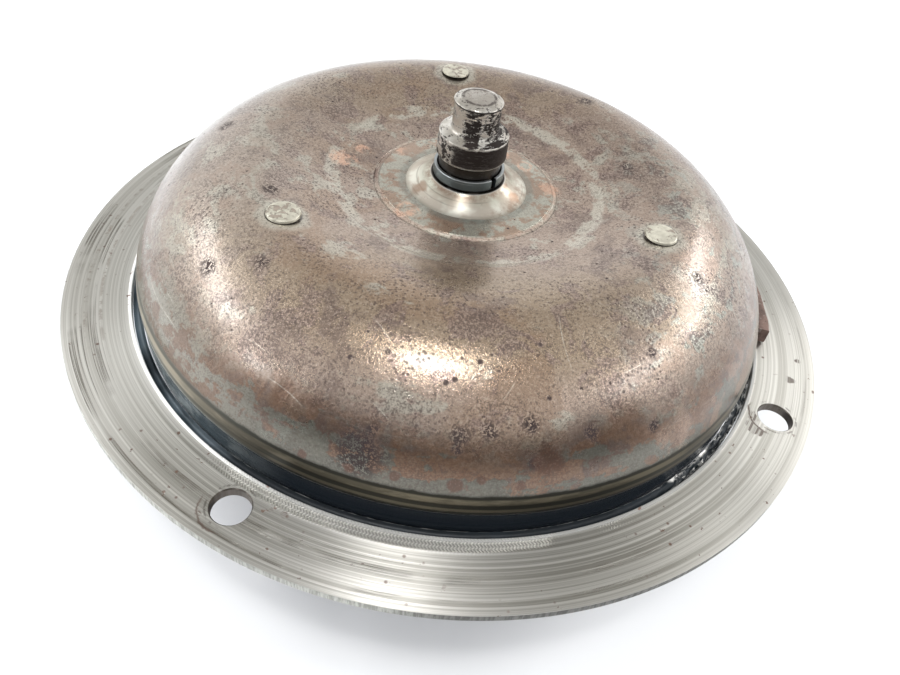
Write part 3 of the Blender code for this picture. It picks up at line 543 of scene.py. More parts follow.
    # Dark crusts of rust, given by radius, azimuth and size, then pits and lone spots.
    biggest = reach_from(place, at(0.0949, -99.1, flange_top + 0.0192)) + (flecks - 0.5) * 0.008
    soot = [biggest.fade(0.0085, 0.0030)]
    for radius_mm, azimuth, size in (
            (90.0, -85, 3.4), (89.0, -81, 3.0), (92.0, -85.4, 1.8), (88.1, -74.8, 3.2), (90.5, -65, 3.2),
            (82.0, -138.3, 3.8), (72.8, -130, 2.8), (93.5, -74, 2.6), (73.8, -27.5, 3.0), (80.5, -50, 2.2),
            (59.0, -152, 3.4), (92.5, -54, 2.6), (91.3, -97.9, 2.6), (64.0, 55, 4.0), (52.0, 18, 3.0),
            (75.0, 176, 4.0)):
        spot = reach_from(place, on_cover(radius_mm / 1000, azimuth)) + (flecks - 0.5) * 0.004
        soot.append(spot.fade(size / 1000, 0.3 * size / 1000))
    soot = any_of(soot) * speckle.fade(0.44, 0.50)
    crowds = mottle(place, 0.014, 3).fade(0.50, 0.60)
    pits = specks(place, 0.0012, 0.40) * crowds
    lone = any_of(blot(place, on_cover(radius_mm / 1000, azimuth), 0.0008, grain)
                  for radius_mm, azimuth in ((81.1, -104.4), (77.9, -98.7), (76.8, -82.9), (80.8, -86.9),
                                             (81.6, -88.3), (73.1, -71.7), (84.0, -71.5)))
    lone = lone.either(specks(place, 0.0046, 0.13))
    lone = lone.either(specks(place, 0.0029, 0.13) * blotches.fade(0.48, 0.54))
    lone = lone * grain.fade(0.38, 0.50) * (1 - low * 0.8)
    marks = soot.either(pits * (0.65 - low * 0.5)).either(lone * 0.95)
    red = any_of(blot(place, on_cover(radius_mm / 1000, azimuth), size / 1000, flecks)
                 for radius_mm, azimuth, size in ((96.4, -85, 2.4), (96.3, -93.5, 1.6), (95.6, -81.5, 1.5),
                                                  (96.6, -100, 1.7), (96.9, -107, 1.6), (96.2, -76, 1.8)))
    red = red.either(blot(place, at(0.0932, -72, flange_top + 0.0212), 0.0046, flecks))

    # Scratches, given by radius, azimuth, heading, length and bend, and drag lines round the shoulder.
    lines = [scratch(place, on_cover(0.0730, -67), 109, 0.017, -0.030, 0.00022)]
    for radius_mm, azimuth, toward, length, bow in (
            (88.3, -97.3, 150, 7, 40), (73.4, -101, 135, 9, 30), (51.0, -161, 5, 9, -60),
            (86.5, -120, 150, 7, 50), (82.0, -55, 40, 8, 50), (82.4, -78, 60, 6, 40),
            (90.5, -112, 150, 12, 70), (76.0, 150, 80, 10, 60), (83.0, 20, 100, 12, 80),
            (70.0, 100, 20, 14, 90)):
        lines.append(scratch(place, on_cover(radius_mm / 1000, azimuth), toward, length / 1000, bow / 1000))
    for line_radius in (0.0832, 0.0915, 0.0938):
        drag = (radius + (clouds - 0.5) * 0.0016).band(line_radius, 0.00008, 0.00010)
        lines.append(drag * smears.fade(0.50, 0.58) * (left * 0.7 + 0.2))

    clean = disc.either(dish_ring * 0.6).either(low * 0.5)
    pepper = (speckle + (blotches - 0.5) * 0.30).fade(0.540, 0.575) * (1 - clean * 0.6)
    salt = speckle.fade(0.455, 0.400) * (1 - disc * 0.7) * (1 - low * 0.75) * (1 - marks)
    colour = layered(
        colour,
        (low * 0.9, wall),
        (dish_ring * 0.70, rgb(0.50, 0.48, 0.41)),
        (disc * 0.85, tarnish.over(rgb(0.40, 0.40, 0.34), rgb(0.31, 0.215, 0.155))),
        (disc_edge * 0.35, rgb(0.52, 0.50, 0.43)),
        (painted_stub_shade * 0.6, rgb(0.21, 0.215, 0.185)),
        (orange * 0.75, rgb(0.45, 0.25, 0.16)),
        (halo * 0.65, rgb(0.50, 0.49, 0.42)),
        # Painted shadow: a dark line round each rivet head.
        (heads.fade(0.0051, 0.0048) * 0.9, rgb(0.04, 0.032, 0.027)),
        (marks * 0.97, rgb(0.036, 0.024, 0.028)),
        (red * 0.85, rgb(0.100, 0.050, 0.033)),
        (any_of(lines) * dust.fade(0.35, 0.60) * 0.6, rgb(0.66, 0.62, 0.54)),
        (pepper * 0.66, rgb(0.082, 0.058, 0.047)),
        (salt * 0.24, rgb(0.60, 0.53, 0.46)),
    )

    # The turned foot: painted reflections in cream and grey at the left, painted shade with dark lines in
    # front, and heat colours down in the groove.
    rise = height + (smears - 0.5) * 0.0005
    satin = (height + (flecks - 0.5) * 0.0014).fade(wall_foot + 0.0064, wall_foot + 0.0054)
    # Painted shade in front: the band is near black, and its lines are painted reflections.
    drawn = (streaks.fade(0.42, 0.58) * 0.5 + 0.5) * rise.band(wall_foot + 0.0038, 0.0011, 0.0006)
    drawn = drawn.either(rise.band(wall_foot + 0.0010, 0.0006, 0.0004) * 0.55)
    drawn = drawn.over(rgb(0.165, 0.145, 0.105), rgb(0.028, 0.027, 0.022))
    # Painted reflection: cream and light grey bands, shown at the left only.
    painted_reflection_bands = rise.band(wall_foot + 0.0030, 0.0016, 0.0008) * (streaks.fade(0.40, 0.56) * 0.4 + 0.6)
    painted_reflection_bands = layered(
        rgb(0.20, 0.20, 0.18),
        (painted_reflection_bands, rgb(0.62, 0.57, 0.47)),
        (rise.fade(wall_foot + 0.0008, wall_foot), rgb(0.50, 0.52, 0.50)),
    )
    blued = (height + (smears - 0.5) * 0.0010).fade(wall_foot - 0.0006, wall_foot - 0.0016)
    heat_tint_and_reflection = (smears * 0.5 + streaks * 0.5).fade(0.42, 0.56)
    heat_tint_and_reflection = heat_tint_and_reflection.over(rgb(0.36, 0.40, 0.41), rgb(0.09, 0.115, 0.13))
    # Painted reflection: the heat colours show lighter at the left, and near black in front.
    heat_tint_and_reflection = (left * 0.9).over(heat_tint_and_reflection, rgb(0.014, 0.019, 0.026))
    colour = layered(
        colour,
        (satin * 0.95, (left * 0.9).over(painted_reflection_bands, drawn)),
        (height.fade(wall_foot - 0.0002, wall_foot - 0.0006), blued.over(heat_tint_and_reflection, rgb(0.12, 0.112, 0.088))),
    )

    back = y.fade(-0.030, 0.005) * x.fade(0.010, 0.040)
    disc_rim = radius.band(disc_radius + 0.0004, 0.0008, 0.0006)
    rough = 0.25 + disc_rim * 0.25 + (patches - 0.5) * 0.16 + marks * 0.3 - pale * 0.05
    rough = rough + low * 0.05 + disc_edge * 0.2
    coat = 0.58 + salt * 0.10 - pepper * 0.12 - low * 0.35 - back * 0.45
    skin = height.fade(wall_foot + 0.0065, wall_foot + 0.0170) * (1 - disc_rim * 0.9)
    bumps = (grain * 0.60 + dust * 0.40) * (1 - disc * 0.6) + flecks * 0.25 - marks * 0.9
    return {
        "Base Color": colour,
        "Metallic": satin.either(0.74 - orange * 0.3 - low * 0.06 - disc_rim * 0.15) - blued * 0.7,
        "Roughness": satin * (0.34 - blued * 0.12) + (1 - satin) * rough,
        "IOR": 1.8,
        "Coat Weight": coat * (1 - marks) * (1 - satin) * (1 - disc_rim),
        "Coat Roughness": 0.17,
        "Coat IOR": 1.6,
        "Normal": relief(bumps * skin, 0.00007, relief(clouds * skin, 0.0008)),
    }


cover_finish = new_finish("rusted_cover_steel", cover_paint)
new_piece("domed_cover", turned_mesh(cover_outside + cover_foot[1:] + cover_inside), cover_finish,
          "housing", "front_cover")

# Three rivets hold the thrust plate behind the cover's crown. Their heads are pressed flat, a
# little proud of the sheet, and shine where they were rubbed.
rivet_head_radius = 0.0047
rivet_head = 0.0008
rivet_shank = 0.0025
rivet_low, rivet_top = levels("cover_rivet_1")
rivet_line = rounded([
    (0, rivet_top, 0),
    *[(share * rivet_head_radius, rivet_top, 0) for share in (0.25, 0.50, 0.75)],
    (rivet_head_radius - 0.0002, rivet_top - 0.0001, 0.0004),
    (rivet_head_radius, rivet_top - rivet_head, 0),
    (rivet_shank, rivet_top - rivet_head, 0),
    (rivet_shank, rivet_low + rivet_head, 0),
    (rivet_head_radius, rivet_low + rivet_head, 0),
    (rivet_head_radius - 0.0004, rivet_low, 0.0003),
    (0, rivet_low, 0),
])


def rivet_paint(place):
    """Rubbed steel with brown specks."""
    flecks = mottle(place, 0.0016, 4, 0.65)
    specked = (mottle(place, 0.0010, 4, 0.75) * 0.6 + mottle(place, 0.004, 2) * 0.4).fade(0.535, 0.575)
    return {
        "Base Color": layered(
            rgb(0.46, 0.44, 0.37),
            (flecks.fade(0.34, 0.66), rgb(0.62, 0.60, 0.51)),
            (specked * 0.75, rgb(0.105, 0.068, 0.052)),
        ),
        "Metallic": 0.7 - specked * 0.5,
        "Roughness": 0.42 + (flecks - 0.5) * 0.2,
        "Normal": relief(flecks - specked * 0.8, 0.00022),
    }


rivet_finish = new_finish("rubbed_rivet_steel", rivet_paint)
for number, angle in enumerate(rivet_angles, 1):
    rivet = turned_mesh(rivet_line, 48, closed=False)
    for vertex in rivet.vertices:
        dent = noise.noise(vertex.co * 450 + Vector((7 * number, 0, 0)))
        if vertex.co.z > rivet_low + rivet_head:
            vertex.co.z += 0.00004 * dent
        vertex.co.xy *= 1 + 0.012 * noise.noise(vertex.co.normalized() * 2 + Vector((0, 0, number)))
    rivet.transform(Matrix.Translation(at(rivet_circle, angle, 0)))
    new_piece(f"flat_rivet_{number}", rivet, rivet_finish,
              "housing", f"cover_rivet_{number}")

# The pilot stub is turned from bar and welded into the cover's middle. Its collar sits in the end of
# the crankshaft: a bell foot, an undercut for the snap ring, the collar, a journal and a tip.
stub_seat = 0.0943
collar_low = 0.1011
collar_high = 0.1084
journal_low = 0.1092
tip_low = 0.1177
stub_end = 0.1189
stub_flange_low = 0.0843
collar_radius = 0.0104
journal_radius = 0.0068
tip_radius = 0.0071
groove_radius = 0.0093
ring_seat_radius = 0.0110
bush_hole_radius = 0.0085
bush_hole_end = 0.0926
stub_flange_high = 0.0868
stub_flange_radius = 0.023
bell = [(ring_seat_radius + (stub_foot_radius - ring_seat_radius) * share,
         dish_height + (stub_seat - dish_height) * (1 - share) ** 1.25, 0)
        for share in np.linspace(0, 1, 13)]
stub_line = rounded([
    (0, stub_end, 0),
    (tip_radius - 0.0021, stub_end - 0.00005, 0.0003),
    (tip_radius - 0.0001, tip_low + 0.0004, 0.0004),
    (tip_radius, tip_low, 0.0001),
    (journal_radius, tip_low - 0.0001, 0.0001),
    (journal_radius, journal_low + 0.0001, 0.0010),
    (collar_radius - 0.0002, collar_high - 0.0001, 0.0003),
    (collar_radius, collar_low + 0.0006, 0.0003),
    (collar_radius - 0.0005, collar_low, 0.0002),
    (groove_radius, collar_low, 0.0001),
    (groove_radius, stub_seat, 0),
    (ring_seat_radius - 0.0001, stub_seat, 0.0001),
    *bell,
    (stub_foot_radius, stub_flange_high, 0),
    (stub_flange_radius, stub_flange_high, 0),
    (stub_flange_radius, stub_flange_low, 0),
    (bush_hole_radius, stub_flange_low, 0),
    (bush_hole_radius, bush_hole_end, 0),
    (0, bush_hole_end + 0.0042, 0),
])


def stub_paint(place):
    """Turned steel, worn bright on its edges and burnt black-brown round the collar."""
    parts = parts_of(place)
    x, y, height, radius = parts
    flecks = mottle(place, 0.0018, 5, 0.68)
    clouds = mottle(place, 0.0055, 3, 0.6)
    scuffs = ringed(parts, height - radius * 0.6, 0.0022, 0.0006, 6, 0.80, 0.01)
    lathe = ringed(parts, height - radius * 0.6, 0.03, 0.0004, 3, 0.6, 0.01)

    # The journal and the tip: bright steel under dirt, with painted shade in front and at the right.
    above = height.fade(collar_high - 0.0002, collar_high) * height.fade(tip_low + 0.0003, tip_low)
    front = y.fade(-0.0030, -0.0062) * x.fade(-0.0036, -0.0012)
    # Painted shade: more dark is laid on the journal's front and its right edge.
    shaded = front * (1 - x.band(0.0026, 0.0010, 0.0012) * 0.6) * 0.115 + x.fade(0.0050, 0.0066) * 0.10
    dirt_and_shade = (scuffs + shaded * above + clouds * 0.1 - 0.05).fade(0.53, 0.59)
    dirt_and_shade = dirt_and_shade * height.fade(stub_seat - 0.0002, stub_seat + 0.0002)
    top = height.fade(0.1180, 0.1182)
    end_face = top * radius.fade(0.0050, 0.0048)
    end_ring = (radius + (scuffs - 0.5) * 0.0022).band(0.0046, 0.0004, 0.0005) * flecks.fade(0.38, 0.50) * top
    under_tip = height.band(tip_low - 0.0001, 0.0003, 0.0003)

    # The collar: burnt oil all round it, rubbed off at one side, and the dark neck below it.
    edge = (scuffs - 0.5) * 0.0030
    sleeve = (height + edge).fade(collar_high - 0.0002, collar_high - 0.0009)
    sleeve = sleeve * (height + edge * 0.4).fade(collar_low + 0.0003, collar_low + 0.0010)
    worn = (x * -0.85 + y * -0.30).fade(0.0062, 0.0082) * flecks.fade(0.44, 0.52)
    burnt = sleeve * (1 - worn * 0.9) * (1 - scuffs.fade(0.54, 0.61) * 0.5)
    neck = height.fade(collar_low + 0.0001, collar_low - 0.0002) * height.fade(stub_seat - 0.0002, stub_seat)

    # The bell foot: bright turned steel, painted lighter towards its outside as a highlight and darker at its
    # very foot as shade, with brown streaks, thin turned lines and two rusty blots.
    foot = height.fade(stub_seat - 0.0001, stub_seat - 0.0004)
    bell_streaks = ringed(parts, radius, 0.006, 0.0012, 4, 0.6, 0.01)
    browned = (x * 0.8 - y * 0.2).fade(0.006, 0.015) * flecks.fade(0.42, 0.60) * 0.6
    browned = clouds.fade(0.42, 0.60) * 0.6 + browned
    browned = browned.either((bell_streaks * 0.6 + clouds * 0.4).fade(0.52, 0.60) * 0.6)
    # Painted highlight: the steel is made lighter towards the outside of the bell.
    bell_steel_and_highlight = radius.fade(0.0130, 0.0160).over(rgb(0.90, 0.89, 0.80), rgb(0.66, 0.66, 0.57))
    turned_lines = [(foot * radius.band(line_radius, width, 0.0002) * bell_streaks.fade(0.44, 0.58) * 0.40,
                     rgb(0.22, 0.20, 0.165))
                    for line_radius, width in ((0.0135, 0.00012), (0.0152, 0.00020), (0.0171, 0.00016))]
    rusty = any_of(blot(place, at(blot_radius, azimuth, 0.0925), size, bell_streaks)
                   for blot_radius, azimuth, size in ((0.0160, -150, 0.0034), (0.0165, -20, 0.0026)))
    return {
        "Base Color": layered(
            rgb(0.54, 0.51, 0.46),
            (clouds.fade(0.40, 0.62), rgb(0.84, 0.82, 0.78)),
            (dirt_and_shade, rgb(0.015, 0.011, 0.010)),
            (end_face * 0.6, rgb(0.33, 0.30, 0.27)),
            (end_ring * 0.85, rgb(0.07, 0.055, 0.05)),
            (under_tip, rgb(0.02, 0.016, 0.014)),
            (burnt, rgb(0.014, 0.010, 0.009)),
            (neck, rgb(0.045, 0.040, 0.036)),
            (foot, (browned * 0.85).over(rgb(0.44, 0.34, 0.27), bell_steel_and_highlight)),
            (foot * radius.fade(0.0140, 0.0118) * flecks.fade(0.35, 0.6) * 0.8, rgb(0.30, 0.20, 0.15)),
            # Painted shade: darker where the bell meets the cover.
            (foot * radius.fade(0.0170, 0.0184) * 0.5, rgb(0.30, 0.29, 0.24)),
            *turned_lines,
            (rusty * foot * 0.7, rgb(0.36, 0.235, 0.165)),
        ),
        "Metallic": 1.0 - burnt.either(dirt_and_shade) * 0.85,
        "Roughness": 0.24 + flecks * 0.10 + burnt * 0.20 + dirt_and_shade * 0.3,
        "IOR": 1.3,
        "Anisotropic": 0.6,
        "Anisotropic Rotation": 0.25,
        "Normal": relief(flecks * (0.5 - foot * 0.4) - dirt_and_shade * 0.5, 0.00012, relief(lathe, 0.00006)),
    }


stub_finish = new_finish("turned_stub_steel", stub_paint)
new_piece("pilot_stub_turned", turned_mesh(stub_line, 128, closed=False), stub_finish,
          "housing", "pilot_stub")

# A split ring of spring steel is snapped round the foot of the stub. It is blue-grey from its heat
# treatment, with rubbed edges, and its two ends stand a few millimetres apart.
snap_low, snap_high = levels("stub_snap_ring")
snap_bore = 0.0096
snap_radius = 0.0106
snap_gap = 10.0
snap_gap_angle = -42.0


def mesh_from(bm):
    """Makes a mesh of what was built, with its faces turned outward."""
    bmesh.ops.recalc_face_normals(bm, faces=bm.faces)
    mesh = bpy.data.meshes.new("built")
    bm.to_mesh(mesh)
    bm.free()
    return mesh


def swept_mesh(section, first_angle, span, steps):
    """Makes a section swept over part of a turn, with closed ends."""
    bm = bmesh.new()
    verts = [bm.verts.new(at(radius, first_angle, height)) for radius, height in section]
    face = bm.faces.new(verts)
    bmesh.ops.spin(bm, geom=[face, *face.edges, *face.verts], cent=(0, 0, 0), axis=(0, 0, 1),
                   angle=math.radians(span), steps=steps, use_merge=False)
    return mesh_from(bm)


def ring_section(bore, radius, low, high, edge):
    """Gives the section of a ring with rounded edges."""
    middle = (bore + radius) / 2
    corners = [(radius, high, edge), (radius, low, edge), (bore, low, edge), (bore, high, edge)]
    return rounded([(middle, high, 0), *corners, (middle, high, 0)], 3)[:-1]


def snap_ring_paint(place):
    """Blued spring steel, rubbed bright on its edges."""
    parts = parts_of(place)
    height = parts[2]
    drawn = ringed(parts, height, 0.012, 0.0003, 3, 0.6, 0.01)
    rubbed = height.fade(snap_high - 0.0004, snap_high - 0.0001).either(drawn.fade(0.60, 0.72) * 0.5)
    # Darker along the ring's lower edge, where it sits on the stub.
    dirt_and_shade = height.fade(snap_low + 0.0006, snap_low + 0.0001)
    return {
        "Base Color": layered(
            rgb(0.150, 0.185, 0.205),
            (rubbed, rgb(0.46, 0.50, 0.52)),
            (dirt_and_shade * 0.9, rgb(0.02, 0.018, 0.016)),
        ),
        "Metallic": 1.0 - dirt_and_shade * 0.6,
        "Roughness": 0.28 + drawn * 0.14,
        "Normal": relief(drawn, 0.00005),
    }


snap_section = ring_section(snap_bore, snap_radius, snap_low, snap_high, 0.00035)
snap_mesh = swept_mesh(snap_section, snap_gap_angle + snap_gap / 2, 360 - snap_gap, 96)
new_piece("snap_ring", snap_mesh, new_finish("blued_spring_steel", snap_ring_paint),
          "housing", "stub_snap_ring")

# The bolt flange is a flat ring cut from 3 mm plate and faced on a lathe. The facing left fine rings,
# a chatter pattern near the bore, and stains of rust under the four bolt heads.
flange_radius = 0.120
flange_bore = 0.1007
flange_low = 0.053
flange_lip = 0.0003
bolt_circle = 0.110
bolt_hole_radius = 0.005
bolt_angles = [-23.5, 66.5, 156.5, 246.5]
bolt_hole_chamfer = 0.0013
chatter_pitch = 0.0014
flange_line = rounded([
    (0.5 * (flange_bore + flange_radius), flange_top, 0),
    (flange_radius, flange_top, 0.00018),
    (flange_radius, flange_low + 0.0005, 0.0001),
    (flange_radius - 0.0005, flange_low, 0.0001),
    (flange_bore, flange_low, 0.0002),
    (flange_bore, flange_top + flange_lip, 0.0002),
    (flange_bore + 0.0005, flange_top + flange_lip, 0.0003),
    (flange_bore + 0.0011, flange_top, 0.0002),
    (0.5 * (flange_bore + flange_radius), flange_top, 0),
])[:-1]
bolt_hole_line = [
    (0, flange_top + 0.001),
    (bolt_hole_radius + bolt_hole_chamfer, flange_top + 0.001),
    (bolt_hole_radius, flange_top + 0.001 - bolt_hole_chamfer),
    (bolt_hole_radius, flange_low - 0.001 + bolt_hole_chamfer),
    (bolt_hole_radius + bolt_hole_chamfer, flange_low - 0.001),
    (0, flange_low - 0.001),
]


def bolt_stain(place, azimuth, side, ragged):
    """Is 1 in a ragged arc of rust round one side of a bolt hole."""
    hole = Vector(at(bolt_circle, azimuth, flange_top))
    print_of_head = (reach_from(place, hole) + (ragged - 0.5) * 0.0018).band(0.0078, 0.00012, 0.0004)
    near = reach_from(place, hole + 0.008 * facing(side, 0)).fade(0.0075, 0.0045)
    return print_of_head * near


def flange_paint(place):
    """Faced steel plate with turned rings, chatter marks and brown stains."""
    parts = parts_of(place)
    x, y, height, radius = parts
    rings = ringed(parts, radius, 0.30, 0.0012, 5, 0.75)
    fine = ringed(parts, radius, 0.20, 0.00042, 3, 0.7)
    wide = ringed(parts, radius, 0.16, 0.0050, 3, 0.55)
    flecks = mottle(place, 0.0020, 4, 0.65)
    clouds = mottle(place, 0.018, 3, 0.6)

    # The tool chattered near the bore in front: short ticks in zigzag rows.
    rows = (radius + (flecks - 0.5) * 0.0002) * (1 / chatter_pitch)
    zigzag = abs(rows.maths("FRACT") - 0.5)
    ticks = y.maths("ARCTAN2", x) * 760 + zigzag * 7 + wide * 8
    inner = (radius + (wide - 0.5) * 0.003).fade(0.1052, 0.1036)
    front = (y + x * 0.15).fade(-0.068, -0.090) * x.fade(-0.062, -0.040)
    chatter = (ticks.maths("SINE") * 0.5 + 0.5) * inner * front * clouds.fade(0.35, 0.50)

    # The faced steel: calmer at the sides, with a painted glint in front and a painted highlight on the lip
    # at the left.
    aside = abs(x).fade(0.056, 0.088)
    calm = fine.fade(0.35, 0.65).over(rgb(0.78, 0.775, 0.74), rgb(0.64, 0.63, 0.59))
    # Painted highlight: a bright glint on the flange in front.
    painted_glint = y.fade(-0.088, -0.104) * abs(x + 0.004).fade(0.046, 0.016)
    bright = (rings * 0.3 + fine * 0.7).fade(0.38, 0.62).over(rgb(0.95, 0.94, 0.91), rgb(0.56, 0.55, 0.51))
    lip = height.fade(flange_top + 0.00004, flange_top + 0.00010)

    # Dark rings, spots and stains, given by radius, azimuth and size.
    outer = radius.fade(0.1075, 0.1105) * (1 - x.fade(0.03, 0.07) * 0.6)
    lines = rings.band(0.43, 0.016, 0.012) * clouds.fade(0.42, 0.54) * outer
    left = x.fade(-0.055, -0.095)
    dirt_ring = radius.band(0.1134, 0.0006, 0.0005).either(radius.band(0.1092, 0.0005, 0.0005) * 0.8)
    dirt_ring = dirt_ring * left * (fine * 0.3 + flecks * 0.7).fade(0.46, 0.60) * y.fade(-0.062, -0.045)
    spots = mottle(place, 0.0016, 3, 0.6).fade(0.66, 0.70).either(specks(place, 0.0052, 0.12))
    spots = spots * mottle(place, 0.014, 2).fade(0.42, 0.56)
    stains = any_of(blot(place, at(spot_radius, azimuth, flange_top), size, flecks) * fine.fade(0.40, 0.60)
                    for spot_radius, azimuth, size in (
                        (0.1157, -116, 0.0010), (0.1124, -14, 0.0018), (0.1150, -9, 0.0012),
                        (0.1040, -25.5, 0.0022), (0.1046, -27.5, 0.0020), (0.1058, -28.2, 0.0020),
                        (0.1076, -28.0, 0.0018), (0.1056, -107, 0.0012), (0.1060, -109, 0.0010)))
    for azimuth, side in ((bolt_angles[3], 215), (bolt_angles[0], 195)):
        stains = stains.either(bolt_stain(place, azimuth, side, flecks))
    marks = stains.either(spots).either(dirt_ring)

    # Each bolt hole is dark inside, with a little rust round its rim.
    holes = []
    for bolt_angle in bolt_angles:
        bore = reach_from(place, at(bolt_circle, bolt_angle, 0.5 * (flange_low + flange_top)))
        rim = bore.band(bolt_hole_radius + bolt_hole_chamfer, 0.0002, 0.0003) * flecks.fade(0.50, 0.58) * 0.6
        holes.append((bore.fade(0.0056, 0.0054).either(rim) * 0.85, rgb(0.062, 0.046, 0.036)))

    # The rim is sawn, with painted shade at the left and a painted highlight at the right, and the underside
    # has brown clouds.
    side = height.fade(flange_top - 0.00015, flange_top - 0.0004) * radius.fade(0.1195, 0.1198)
    sawn = ringed(parts, height, 0.00036, 0.004, 3, 0.6)
    # Painted light and shade: the rim is lighter at the right and darker at the left.
    painted_lit_rim = sawn.fade(0.4, 0.6).over(rgb(0.60, 0.61, 0.57), rgb(0.34, 0.34, 0.31))
    painted_shaded_rim = sawn.fade(0.4, 0.6).over(rgb(0.17, 0.17, 0.16), rgb(0.060, 0.060, 0.056))
    under = height.fade(flange_low + 0.0004, flange_low + 0.0001)
    turned = (rings * (0.7 - aside * 0.7) + fine * (0.4 - aside * 0.34)) * (1 - lip) - lines * 0.3
    return {
        "Base Color": layered(
            rgb(0.36, 0.35, 0.315),
            ((rings * 0.4 + fine * 0.6).fade(0.38, 0.62), rgb(0.73, 0.72, 0.68)),
            (wide.fade(0.52, 0.60) * 0.20, rgb(0.40, 0.385, 0.35)),
            (aside * 0.6, calm),
            (painted_glint * 0.75, bright),
            (chatter * 0.50, rgb(0.17, 0.17, 0.15)),
            (lip, rgb(0.34, 0.34, 0.33)),
            # Painted highlight: the lip is white at the left.
            (lip * x.fade(-0.030, -0.060), rgb(0.93, 0.93, 0.91)),
            (lines * 0.8, rgb(0.15, 0.13, 0.105)),
            (dirt_ring * 0.6, rgb(0.17, 0.115, 0.08)),
            (spots * 0.85, rgb(0.15, 0.08, 0.055)),
            (stains * 0.8, rgb(0.095, 0.058, 0.042)),
            *holes,
            (side * 0.9, x.fade(-0.012, 0.012).over(painted_shaded_rim, painted_lit_rim)),
            (under * clouds.fade(0.4, 0.6) * 0.6, rgb(0.22, 0.18, 0.14)),
        ),
        "Metallic": 1.0 - marks * 0.35 - lip * 0.5,
        "Roughness": 0.38 + wide * 0.06 + marks * 0.2,
        "Anisotropic": 0.96,
        "Anisotropic Rotation": 0.25,
        "Normal": relief(turned, 0.00016, relief(chatter, 0.00010, relief(sawn * side, 0.0002))),
    }


flange_finish = new_finish("faced_flange_steel", flange_paint)
flange = new_piece("bolt_flange", turned_mesh(flange_line, 320), flange_finish,
                   "housing", "flange_ring")
for angle in bolt_angles:
    hole = turned_mesh(bolt_hole_line, 64, closed=False)
    hole.transform(Matrix.Translation(at(bolt_circle, angle, 0)))
    cut(flange, hole)
smooth(flange.data)

# The weld lies down in the groove between the cover's turned foot and the flange's bore. It is
# smooth and blue-black, apart from a stretch on the right, which is torn and spattered.
weld_bore = 0.0981
weld_radius = 0.1004
weld_top = 0.0535
weld_section = [(weld_bore, 0.0549), (weld_bore + 0.0004, 0.0543), (weld_bore + 0.0009, 0.0540),
                (weld_bore + 0.0014, 0.0540), (weld_bore + 0.0019, 0.0543), (weld_radius, 0.0547),
                (weld_radius, 0.0530), (weld_bore, 0.0530)]


def torn_share(azimuth):
    """Says how torn the bead is at an azimuth: wholly from -46 to -14 degrees, and fading out."""
    past = max(-46 - azimuth, azimuth + 14, 0)
    return max(0.0, 1 - past / 10) ** 2


def groove_ripple(radius, height, azimuth):
    """Ripples the bead, and breaks it up where it is torn."""
    if height > weld_top:
        seed = Vector((azimuth * 0.5, radius * 3400, 3.3))
        height += 0.0001 * noise.noise(Vector(at(radius * 420, azimuth, 0)))
        lump = noise.turbulence(seed, 3, True)
        height += torn_share(azimuth) * (0.0002 + 0.0014 * lump)
        radius += torn_share(azimuth) * 0.0002 * noise.noise(seed * 3)
    return radius, height


def weld_bead(section, steps, ripple):
    """Makes a ring of weld from a section that the ripple moves at each azimuth."""
    bm = bmesh.new()
    rows = []
    for step in range(steps):
        azimuth = 360 * step / steps - 180
        row = []
        for radius, height in section:
            moved_radius, moved_height = ripple(radius, height, azimuth)
            row.append(bm.verts.new(at(moved_radius, azimuth, moved_height)))
        rows.append(row)
    for i, row in enumerate(rows):
        for j in range(len(section)):
            bm.faces.new((rows[i - 1][j], rows[i - 1][j - 1], row[j - 1], row[j]))
    return mesh_from(bm)


def groove_weld_paint(place):
    """Blue-black weld, silver where it is torn, with a painted blue-grey reflection at the left side."""
    parts = parts_of(place)
    x, y, height, radius = parts
    flecks = ringed(parts, height * 2 + radius, 0.0030, 0.0007, 4, 0.7)
    heat = ringed(parts, height, 0.02, 0.004, 3, 0.55)
    lumps = height.fade(0.0547, 0.0553)
    silver = lumps * flecks.fade(0.47, 0.53)
    # Painted reflection: the weld shows blue-grey at the left.
    lit = x.fade(-0.040, -0.070) * (1 - lumps)
    return {
        "Base Color": layered(
            rgb(0.012, 0.016, 0.020),
            (silver, rgb(0.74, 0.74, 0.72)),
            (heat.fade(0.5, 0.7) * (1 - lumps) * 0.5, rgb(0.030, 0.042, 0.054)),
            (lit * heat.fade(0.35, 0.60) * 0.85, rgb(0.26, 0.32, 0.37)),
        ),
        "Metallic": 0.3 + silver.either(lit) * 0.6,
        "Roughness": 0.36 - lit * 0.12 + flecks * 0.14,
        "Normal": relief(flecks, 0.0001),
    }


groove_weld_finish = new_finish("blue_black_weld", groove_weld_paint)
new_piece("groove_weld", weld_bead(weld_section, 720, groove_ripple), groove_weld_finish,
          "housing", "flange_weld")

# A block of steel bar is welded on the flange against the cover's wall, where the finished converter
# was light. It is left rough and has rusted to a purple-brown.
weight_bore = 0.0981
weight_radius = 0.1043
weight_span = 13
weight_low, weight_high = levels("balance_weight")
weight_section = ring_section(weight_bore, weight_radius, weight_low, weight_high, 0.0007)
weight_mesh = swept_mesh(weight_section, -weight_span / 2, weight_span, 36)
noise.seed_set(1)
for vertex in weight_mesh.vertices:
    if vertex.co.z >= weight_low + 0.0006:
        vertex.co += 0.00018 * noise.noise_vector(vertex.co * 350)


